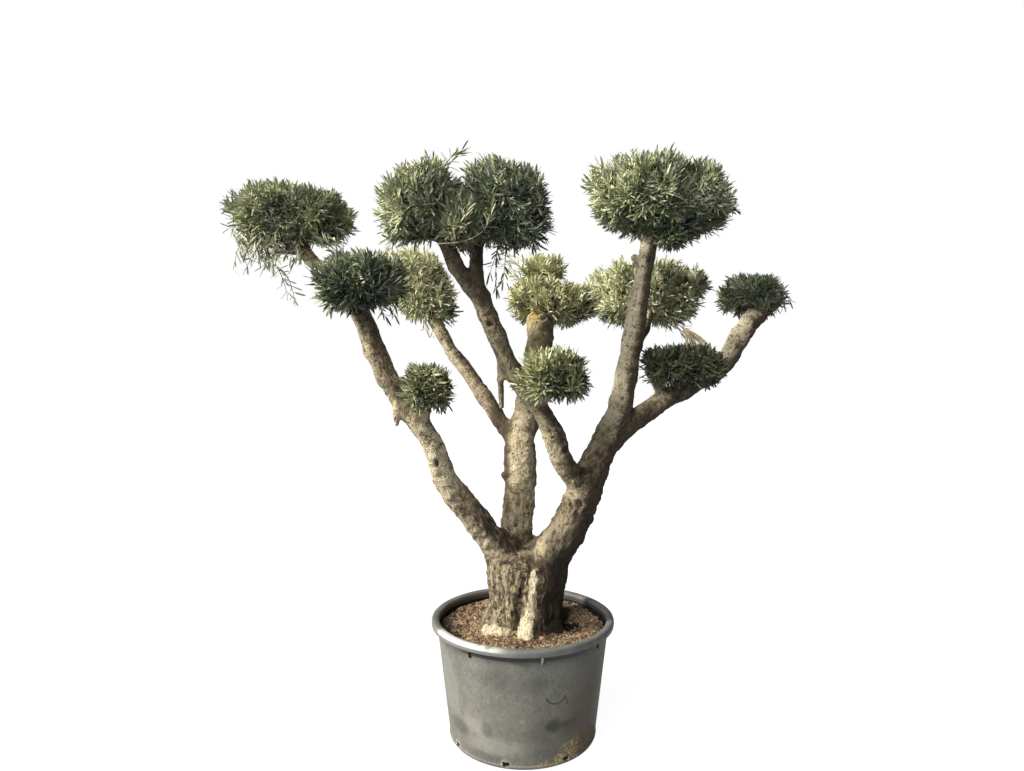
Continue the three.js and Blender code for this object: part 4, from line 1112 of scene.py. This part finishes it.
class Space:
    """The room that a cloud keeps to: a rounded box-like form, tilted or leaning, with five soft hollows."""

    def __init__(self, middle, half, tilt=0, lean=0, upper=3, lower=3.1):
        self.middle = np.array(middle) / 1000
        self.half = np.array(half) / 1000
        self.tilt = tilt
        self.lean = lean
        self.upper = upper
        self.lower = lower

    def fullness(self, spots):
        """How far out spots lie: 0 in the middle, 1 on the outside."""
        x, y, z = (spots - self.middle).T
        away = np.sqrt(x * x + y * y + z * z) + 1e-9
        plan = np.hypot((x - self.lean * z) / self.half[0], y / self.half[1])
        rise = z - self.tilt * x
        power = np.where(rise > 0, self.upper, self.lower)
        hollow = HOLLOWS * (0.5 + 0.5 * np.sin(5 * np.arctan2(y, x) + self.middle[0] * 1000)) * (1 - (z / away) ** 2)
        return (plan ** power + (np.abs(rise) / self.half[2]) ** power) ** (1 / power) / (1 - hollow)

    def skin(self, ways):
        """Where directions from the middle meet the outside."""
        return self.middle + ways / self.fullness(self.middle + ways)[:, None]

    def area(self):
        """Nearly the outside's area, as that of an ellipsoid."""
        a, b, c = self.half ** 1.6
        return 4 * math.pi * ((a * b + a * c + b * c) / 3) ** (1 / 1.6)


class Bends:
    """Many curved twigs at once, each from first to last with its middle pulled towards a third point."""

    def __init__(self, first, pull, last):
        self.first = first
        self.pull = pull
        self.last = last

    def chosen(self, rows):
        """The twigs of those numbers, as often as each is named."""
        return Bends(self.first[rows], self.pull[rows], self.last[rows])

    def with_more(self, other):
        return Bends(*(np.concatenate([getattr(self, end), getattr(other, end)]) for end in ("first", "pull", "last")))

    def at(self, t):
        """Points at shares t of each twig, a row of shares for each."""
        t = t[..., None]
        return (1 - t) ** 2 * self.first[:, None] + 2 * t * (1 - t) * self.pull[:, None] + t * t * self.last[:, None]

    def along(self, t):
        t = t[..., None]
        return unit((1 - t) * (self.pull - self.first)[:, None] + t * (self.last - self.pull)[:, None], 1e-9)

    def lengths(self):
        steps = self.at(np.tile(np.linspace(0, 1, 7), (len(self.first), 1)))
        return np.linalg.norm(np.diff(steps, axis=1), axis=-1).sum(axis=1)


def twig_tubes(bends, heel, tip, steps, sides):
    """Vertices and faces of thin closed tubes along bends, tapering from the heel's radius to the tip's."""
    count = len(bends.first)
    t = np.tile(np.linspace(0, 1, steps), (count, 1))
    along = bends.along(t)
    side = unit(np.cross(along, np.array((0.31, 0.94, 0.13))), 1e-9)
    other = np.cross(along, side)
    radii = np.linspace(1, 0, steps) * (heel - tip) + tip
    turn = (2 * np.pi * np.arange(sides) / sides)[:, None]
    rings = side[:, :, None] * np.cos(turn) + other[:, :, None] * np.sin(turn)
    rings = bends.at(t)[:, :, None] + rings * radii[:, None, None]
    corners = np.concatenate([rings.reshape(count, steps * sides, 3), bends.first[:, None],
                              bends.last[:, None] + along[:, -1:] * 0.004], axis=1)
    one = ring_faces(steps, sides)
    starts = range(0, count * corners.shape[1], corners.shape[1])
    return corners.reshape(-1, 3).tolist(), [[start + corner for corner in face] for start in starts for face in one]


def leaf_tree():
    """Geometry Nodes that put a leaf on every point, along and facing as the point says, in its spray's tint."""
    tree, node, given = empty_tree("leaves_on_sprigs", {
        "Geometry": "Geometry", "Leaf Length": "Float", "Leaf Width": "Float", "Leaf Thickness": "Float",
        "Leaf Bend": "Float", "Underside": "Material", **dict.fromkeys(TINTS, "Material")})

    def maths(operation, first, second):
        return node("ShaderNodeMath", {"operation": operation}, {0: first, 1: second})

    def named(name, kind):
        return node("GeometryNodeInputNamedAttribute", {"data_type": kind}, {"Name": name})

    blade = node("GeometryNodeMeshUVSphere", {}, {"Segments": 3, "Rings": 3, "Radius": 1.0})
    position = node("GeometryNodeInputPosition", {}, {})
    x, y, z = [node("ShaderNodeSeparateXYZ", {}, {0: position}, k) for k in range(3)]
    reach = maths("ADD", maths("MULTIPLY", z, 0.5), 0.5)
    arch = maths("MULTIPLY", maths("MULTIPLY", reach, reach), given["Leaf Bend"])
    blade_x = maths("SUBTRACT", maths("MULTIPLY", x, given["Leaf Thickness"]), arch)
    blade_y = maths("MULTIPLY", maths("MULTIPLY", y, given["Leaf Width"]), 0.66)
    blade_z = maths("MULTIPLY", maths("POWER", reach, 0.86), given["Leaf Length"])
    shape = node("ShaderNodeCombineXYZ", {}, {0: blade_x, 1: blade_y, 2: blade_z})
    blade = node("GeometryNodeSetPosition", {}, {"Geometry": blade, "Position": shape})
    facing = node("ShaderNodeSeparateXYZ", {}, {0: node("GeometryNodeInputNormal", {}, {})})
    under = node("FunctionNodeCompare", {"data_type": "FLOAT", "operation": "LESS_THAN"}, {0: facing, 1: -0.35})
    blade = node("GeometryNodeStoreNamedAttribute", {"data_type": "BOOLEAN", "domain": "FACE"},
                 {"Geometry": blade, "Name": "under", "Value": under})
    turn = node("FunctionNodeAxesToRotation", {"primary_axis": "Z", "secondary_axis": "X"},
                {0: named("along", "FLOAT_VECTOR"), 1: named("up", "FLOAT_VECTOR")})
    leaves = node("GeometryNodeInstanceOnPoints", {}, {"Points": given["Geometry"], "Instance": blade,
                                                       "Rotation": turn, "Scale": named("size", "FLOAT")})
    leaves = node("GeometryNodeRealizeInstances", {}, {"Geometry": leaves})
    for number, tint in enumerate(TINTS):
        chosen = node("FunctionNodeCompare", {"data_type": "FLOAT", "operation": "EQUAL"},
                      {0: named("tint", "FLOAT"), 1: float(number), "Epsilon": 0.25})
        leaves = node("GeometryNodeSetMaterial", {}, {"Geometry": leaves, "Selection": chosen,
                                                      "Material": given[tint]})
    leaves = node("GeometryNodeSetMaterial", {}, {"Geometry": leaves, "Selection": named("under", "BOOLEAN"),
                                                  "Material": given["Underside"]})
    put_node(tree, "NodeGroupOutput", {}, {"Geometry": leaves})
    return tree


def leaf_finish(name, colour, roughness=0.62):
    """A leathery leaf of one colour, with a fine uneven gloss."""
    finish = Finish(name, Base_Color=(*colour, 1.0), Specular_IOR_Level=0.45)
    waxy = finish.grain(finish.place(), 90.0, 2.0)
    finish.set("Roughness", roughness - 0.1 + waxy * 0.2)
    finish.bump(waxy, 0.0012, 0.5)
    return finish.material


leaf_finishes = {tint: leaf_finish(tint, colour, 0.46) for tint, colour in TINTS.items()}
leaf_finishes["Underside"] = leaf_finish("leaf_underside", UNDERSIDE)
leaves_growing = leaf_tree()
young_bark = flecked("young_bark", 0.8, (0.085, 0.066, 0.036), (0.300, 0.262, 0.170))
spaces = {name: Space(CARRIERS[name][2], *row[:5]) for name, row in CLOUDS.items()}
lobe_spaces = {name: Space(middle, half) for name, (middle, half, *_) in LOBES.items()}
cloud_area = sum(spaces[name].area() * share for name, (*_, share) in CLOUDS.items())


def clear_of_limbs(spots):
    """Which spots lie outside every limb."""
    clear = np.ones(len(spots), bool)
    for k, spot in enumerate(spots):
        _, bead, away = bead_tree.find(spot)
        clear[k] = away > beads[bead][2] + LIMB_CLEARANCE
    return clear


def sprig_leaves(bends, pairs, step, random):
    """Points, directions, facings and sprig numbers of leaves in opposite pairs, with one more at the tip."""
    lengths = bends.lengths()
    back = np.arange(pairs)[::-1] * step + 0.004
    t = 1 - back[None, :] / lengths[:, None]
    kept = t > 0.04
    t = np.clip(t, 0.04, 1.0)
    middles = bends.at(t)
    along = bends.along(t)
    level = np.array((0.0, 0.0, 1.0))
    over = unit(level - along * along[..., 2:3], 1e-6)
    beside = np.cross(along, over)
    phase = random.random(len(lengths))[:, None] * math.pi + np.arange(pairs)[None, :] * (math.pi / 2)
    phase = phase + random.normal(0, 0.25, phase.shape)
    opening = np.linspace(*LEAF_SPLAY, pairs)[None, :]
    rows = []
    for angle in (phase, phase + math.pi):
        side = over * np.cos(angle)[..., None] + beside * np.sin(angle)[..., None]
        open_by = (opening + random.normal(0, 0.22, phase.shape))[..., None]
        way = along * np.cos(open_by) + side * np.sin(open_by) + level * 0.18 + random.normal(0, 0.20, side.shape)
        face = along + level * 0.35 + random.normal(0, 0.22, way.shape)
        rows.append((middles[kept], unit(way)[kept], face[kept], np.nonzero(kept)[0]))
    tip = np.ones((len(lengths), 1))
    rows.append((bends.at(tip)[:, 0], bends.along(tip)[:, 0], level[None] + random.normal(0, 0.4, (len(lengths), 3)),
                 np.arange(len(lengths))))
    return [np.concatenate(column) for column in zip(*rows)]


def hanging_sprays(space, stem, random):
    """Long sprays that leave the stem on top and hang down round the cloud's middle."""
    across = random.random(HANGING) ** 1.25
    last = space.middle + space.half * np.stack([
        0.96 - 1.90 * across, 1.6 * random.random(HANGING) - 0.8,
        1.0 - (0.35 + 1.45 * random.random(HANGING)) * (0.55 + 0.45 * across)], axis=1)
    first = stem.at(0.1 + 0.8 * across[:, None])[:, 0]
    pull = np.stack([last[:, 0] + 0.08 * random.normal(0, 1, HANGING), (first[:, 1] + last[:, 1]) / 2,
                     np.full(HANGING, space.middle[2] + space.half[2] * 1.15)], axis=1)
    return Bends(first, pull, last)


def arms_and_shoots(space, stem, shoot_count, rule, random):
    """Every fifth shoot as an arm from the cloud's stem, and the others as shoots from the nearest arm."""
    ways = ways_round(shoot_count, SHOOT_FALL, rule)
    ends = space.middle + (space.skin(ways) - space.middle) * 0.80
    arms = np.arange(0, shoot_count, ARM_EVERY)
    first = stem.at(np.clip(0.55 + 0.4 * ways[arms, 2:3], 0.15, 0.95))[:, 0]
    last = ends[arms]
    arm_bends = Bends(first, (first + last) / 2 + np.array((0, 0, 0.22)) * lengths_of(last - first), last)
    last = ends[np.setdiff1d(np.arange(shoot_count), arms)]
    carrying = arm_bends.chosen(np.argmin(gaps_between(last, arm_bends.last), axis=1))
    first = carrying.at(0.25 + 0.45 * random.random((len(last), 1)))[:, 0]
    return arm_bends, Bends(first, (first + last) / 2 + np.array((0, 0, 0.15)) * lengths_of(last - first), last)


def sprigs_of(room, number, carriers, shoot_count, heel_rise, rule, random):
    """Sprigs from the carriers, or from one heel that far up, to the room's outside, in sprays round chance knots.

    Gives the sprigs, the spray that each belongs to, and how many sprays there are.
    """
    ways = unit(ways_round(number, SPRIG_FALL, rule) * room.half)
    outside = room.skin(ways)
    knots = outside[random.choice(number, max(5, number // SPRIGS_A_SPRAY), replace=False)]
    to_knots = gaps_between(outside, knots)
    spray = np.argmin(to_knots, axis=1)
    astray = to_knots.min(axis=1) / math.sqrt(room.area() / len(knots))
    if heel_rise is None:
        owner = np.argmin(gaps_between(knots, carriers.last), axis=1)
        heel = carriers.chosen(owner).at(0.35 + 0.6 * random.random((len(knots), 1)))[:, 0]
    else:
        heel = room.middle + np.array((0, 0, room.half[2] * heel_rise)) + random.normal(0, 0.03, knots.shape)
    first = heel[spray] + random.normal(0, 0.012, (number, 3))
    spacing = math.sqrt(room.area() / max(5, shoot_count))
    apart = np.sort(gaps_between(outside, carriers.last), axis=1)
    between = np.clip(1.0 - (apart[:, 1] - apart[:, 0]) / (0.45 * spacing), 0.0, 1.0)
    depth = (1.043 - 0.14 * random.random(number) ** 1.6 - 0.19 * random.random(len(knots))[spray] ** 1.4
             - 0.16 * astray ** 2 - 0.06 * between ** 2)
    out = outside - room.middle
    reach = np.linalg.norm(out, axis=1)
    last = room.middle + out * (depth - 0.050 / reach)[:, None]
    outward = out / reach[:, None]
    lift = 0.28 + 0.60 * np.clip(outward[:, 2:3] + 0.70, 0.0, 1.0)
    heading = unit(outward * (1.15 - lift) + np.array((0, 0, 1.0)) * lift + random.normal(0, 0.19, last.shape)
                   + random.normal(0, 0.32, knots.shape)[spray])
    return Bends(first, last - heading * lengths_of(last - first) * 0.50, last), spray, len(knots)


for name, (*_, shoot_count, green, share) in CLOUDS.items():
    space = spaces[name]
    seed = abs(CARRIERS[name][2][0]) * 7 + shoot_count
    rule = seeded(seed)
    random = np.random.default_rng(seed)
    stem = Bends(*(spot[None] for spot in cloud_stems[name]))
    sprays = []
    tubes = []
    if name == "foliage_left_hanging":
        sprays.append((hanging_sprays(space, stem, random), 9, 0.027, np.full(HANGING, 0.25)))
        tubes.append(twig_tubes(sprays[0][0], *TWIGS["hanging"]))
    else:
        arms, shoots = arms_and_shoots(space, stem, shoot_count, rule, random)
        tubes.append(twig_tubes(arms, *TWIGS["arm"]))
        tubes.append(twig_tubes(shoots, *TWIGS["shoot"]))
        number = SPRIGS_IN_ALL * space.area() * share / cloud_area
        rounds = [(space, number, None, 0)]
        if name in LOBES:
            _, _, lobe_share, heel_rise, lobe_green = LOBES[name]
            number = number * (1 - lobe_share * 0.5)
            rounds = [(space, number, None, 0), (lobe_spaces[name], number * lobe_share, heel_rise, lobe_green)]
        for room, number, heel_rise, greener in rounds:
            bends, spray, spray_count = sprigs_of(room, int(number), arms.with_more(shoots), shoot_count, heel_rise,
                                                  rule, random)
            tones = random.normal(greener, UNEVEN[green > 1.0], spray_count)[spray]
            sprays.append((bends, LEAF_PAIRS, LEAF_STEP, tones))
            tubes.append(twig_tubes(bends, *TWIGS["sprig"]))
    if name in LEGGY:
        tips = np.array(LEGGY[name]) / 1000
        first = space.middle + (tips - space.middle) * 0.30
        pull = (first + tips) / 2 + np.array((0.0, 0.0, 0.05)) + random.normal(0, 0.02, tips.shape)
        sprays.append((Bends(first, pull, tips), 7, 0.031, np.zeros(len(tips))))
        tubes.append(twig_tubes(sprays[-1][0], *TWIGS["leggy"]))
    crossing = CROSSING.get(name, ())
    for *line, pairs, step, _ in crossing:
        sprays.append((Bends(*(np.array([spot]) / 1000 for spot in line)), pairs, step, np.zeros(1)))
        tubes.append(twig_tubes(sprays[-1][0], *TWIGS["crossing"]))
    rows = []
    sprig_total = 0
    for bends, pairs, step, _ in sprays:
        *row, numbers = sprig_leaves(bends, pairs, step, random)
        rows.append((*row, numbers + sprig_total))
        sprig_total += len(bends.first)
    spots, ways, faces, numbers = (np.concatenate(column) for column in zip(*rows))
    size = LEAF_LEAST + (LEAF_MOST - LEAF_LEAST) * random.random(len(spots))
    tips = spots + ways * (LEAF_LENGTH * size)[:, None]
    loose = numbers >= sprig_total - len(LEGGY.get(name, ())) - len(crossing)
    own = space.fullness(tips)
    inside = (own < 1.08) | loose
    if name in LOBES:
        inside |= lobe_spaces[name].fullness(tips) < 1.04
    for other, room in spaces.items():
        if other != name:
            inside &= (room.fullness(tips) > np.minimum(own, 1.0) - 0.22) | loose
    inside &= clear_of_limbs((spots + tips) / 2)
    from_middle = (spots - space.middle) / space.half
    tones = np.concatenate([tones for *_, tones in sprays])
    # A leaf's tone: its cloud's and its spray's, at random, with painted light: paler to the top, the left and the
    # outside, darker deep inside.
    tone_and_painted_light = (green + (tones + random.normal(0, 0.23, sprig_total))[numbers] + 0.29 * from_middle[:, 2]
             - 0.27 * from_middle[:, 0] + 0.22 * np.clip(space.fullness(spots) - 0.85, -0.8, 0.2))
    tint = np.digitize(tone_and_painted_light, TINT_STEPS).astype(float)
    for k, (*_, crossing_tint) in enumerate(crossing):
        tint[numbers == sprig_total - len(crossing) + k] = crossing_tint
    cloud_name = name.replace("foliage_", "")
    points = bpy.data.meshes.new("leaves_" + cloud_name)
    points.vertices.add(int(inside.sum()))
    points.vertices.foreach_set("co", spots[inside].astype(np.float32).ravel())
    for label, kind, field, values in (
            ("along", "FLOAT_VECTOR", "vector", ways), ("up", "FLOAT_VECTOR", "vector", faces),
            ("size", "FLOAT", "value", size), ("tint", "FLOAT", "value", tint)):
        points.attributes.new(label, kind, "POINT").data.foreach_set(field, values[inside].astype(np.float32).ravel())
    leaves = bpy.data.objects.new("leaves_" + cloud_name, points)
    bpy.context.scene.collection.objects.link(leaves)
    growing = modified(leaves, "leaves", "NODES", node_group=leaves_growing)
    set_inputs(growing, Leaf_Length=LEAF_LENGTH, Leaf_Width=LEAF_WIDTH, Leaf_Thickness=LEAF_THICK,
               Leaf_Bend=LEAF_BEND, **leaf_finishes)
    if name in UNDERSIDES_WITH_PAINTED_LIGHT:
        set_inputs(growing, Underside=leaf_finish("underside_" + cloud_name, UNDERSIDES_WITH_PAINTED_LIGHT[name]))
    plain(leaves)
    for label in ("along", "up", "size", "tint", "under"):
        if label in leaves.data.attributes:
            leaves.data.attributes.remove(leaves.data.attributes[label])
    twigs = piece("twigs_" + cloud_name, *joined(tubes), young_bark)
    for made, finish_slot in ((leaves, "foliage"), (twigs, "bark")):
        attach(made, "root")
        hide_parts(name)


# Straw tuft
# A broken spray that has dried to straw. It hangs by its thin twig from the cloud behind, and its dead blades
# fan out down onto the low right-hand cloud.
TUFT_TOP = np.array((0.884, -0.030, 2.210))
TUFT_BLADES = 46
straws = np.random.default_rng(41)
fan = np.stack([0.068 + 0.046 * straws.normal(0, 1, TUFT_BLADES), 0.040 * straws.normal(0, 1, TUFT_BLADES),
                -0.105 + 0.018 * straws.normal(0, 1, TUFT_BLADES)], axis=1)
blade_from = np.tile(TUFT_TOP, (TUFT_BLADES, 1))
blade_bends = Bends(blade_from, blade_from + fan * 0.5 + np.array((0.012, 0.0, 0.022)), blade_from + fan)
tuft = piece("straw_tuft", *twig_tubes(blade_bends, 0.0040, 0.0020, 6, 4), dry_straw)
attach(tuft, "root")
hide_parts("foliage_right_low")


# Stage
# A plain white studio floor and sky, a main light from the left and a little in front, a soft fill from the
# front, and a camera at the photograph's height and distance, level, looking along +Y.
FLOOR_REACH = 60
FLOOR_Z = -0.001
FLOOR_SIDES = 96
floor_finish = Finish("studio_floor", Base_Color=(0.16, 0.16, 0.16, 1.0), Roughness=1.0,
                      Emission_Color=(1.0, 1.0, 1.0, 1.0), Emission_Strength=0.95)
floor_mesh = bpy.data.meshes.new("studio_floor")
floor_spots = [(x, y, FLOOR_Z) for x, y in ring_spots(FLOOR_REACH, FLOOR_SIDES)]
floor_mesh.from_pydata(floor_spots, [], [tuple(range(FLOOR_SIDES))])
floor_mesh.materials.append(floor_finish.material)
floor = bpy.data.objects.new("studio_floor", floor_mesh)
floor.visible_diffuse = False
bpy.context.scene.collection.objects.link(floor)

sky = bpy.data.worlds.new("studio_sky")
sky.use_nodes = True
soft = sky.node_tree.nodes["Background"]
soft.inputs["Color"].default_value = (0.92, 0.96, 1.0, 1.0)


def sky_node(kind, settings, sockets, output=0):
    return put_node(sky.node_tree, kind, settings, sockets).outputs[output]


looking = sky_node("ShaderNodeTexCoord", {}, {}, "Generated")
dimmed = [sky_node("ShaderNodeMapRange", {}, {
    0: sky_node("ShaderNodeSeparateXYZ", {}, {0: looking}, axis), 1: low, 2: high, 3: at_low, 4: at_high})
    for axis, low, high, at_low, at_high in ((0, -1.0, 1.0, 0.40, 0.04), (2, -0.5, 0.2, 0.45, 1.0))]
dimmer = sky_node("ShaderNodeMath", {"operation": "MULTIPLY"}, {0: dimmed[0], 1: dimmed[1]})
sky.node_tree.links.new(dimmer, soft.inputs["Strength"])
white = sky_node("ShaderNodeBackground", {}, {"Color": (1.0, 1.0, 1.0, 1.0), "Strength": 1.0})
seen = sky_node("ShaderNodeLightPath", {}, {}, "Is Camera Ray")
choice = sky_node("ShaderNodeMixShader", {}, {0: seen, 1: soft.outputs[0], 2: white})
sky.node_tree.links.new(choice, sky.node_tree.nodes["World Output"].inputs["Surface"])
bpy.context.scene.world = sky
bpy.context.scene.view_settings.view_transform = "Standard"

for name, strength, spread, colour, way in (
        ("main_light", 5.1, 5, (1.0, 0.945, 0.85), (0.851, 0.200, -0.485)),
        ("front_fill", 1.9, 30, (1.0, 0.97, 0.91), (0.42, 0.76, -0.50))):
    sun = bpy.data.lights.new(name, "SUN")
    sun.energy = strength
    sun.angle = math.radians(spread)
    sun.color = colour
    lamp = bpy.data.objects.new(name, sun)
    lamp.rotation_euler = Vector(way).to_track_quat("-Z", "Y").to_euler()
    bpy.context.scene.collection.objects.link(lamp)

lens = bpy.data.cameras.new("photo_camera")
lens.lens = 22.46
lens.sensor_width = 36.0
camera = bpy.data.objects.new("photo_camera", lens)
camera.location = (-0.0587, -3.54, 1.895)
camera.rotation_euler = (math.pi / 2, 0.0, 0.0)
bpy.context.scene.collection.objects.link(camera)
bpy.context.scene.camera = camera
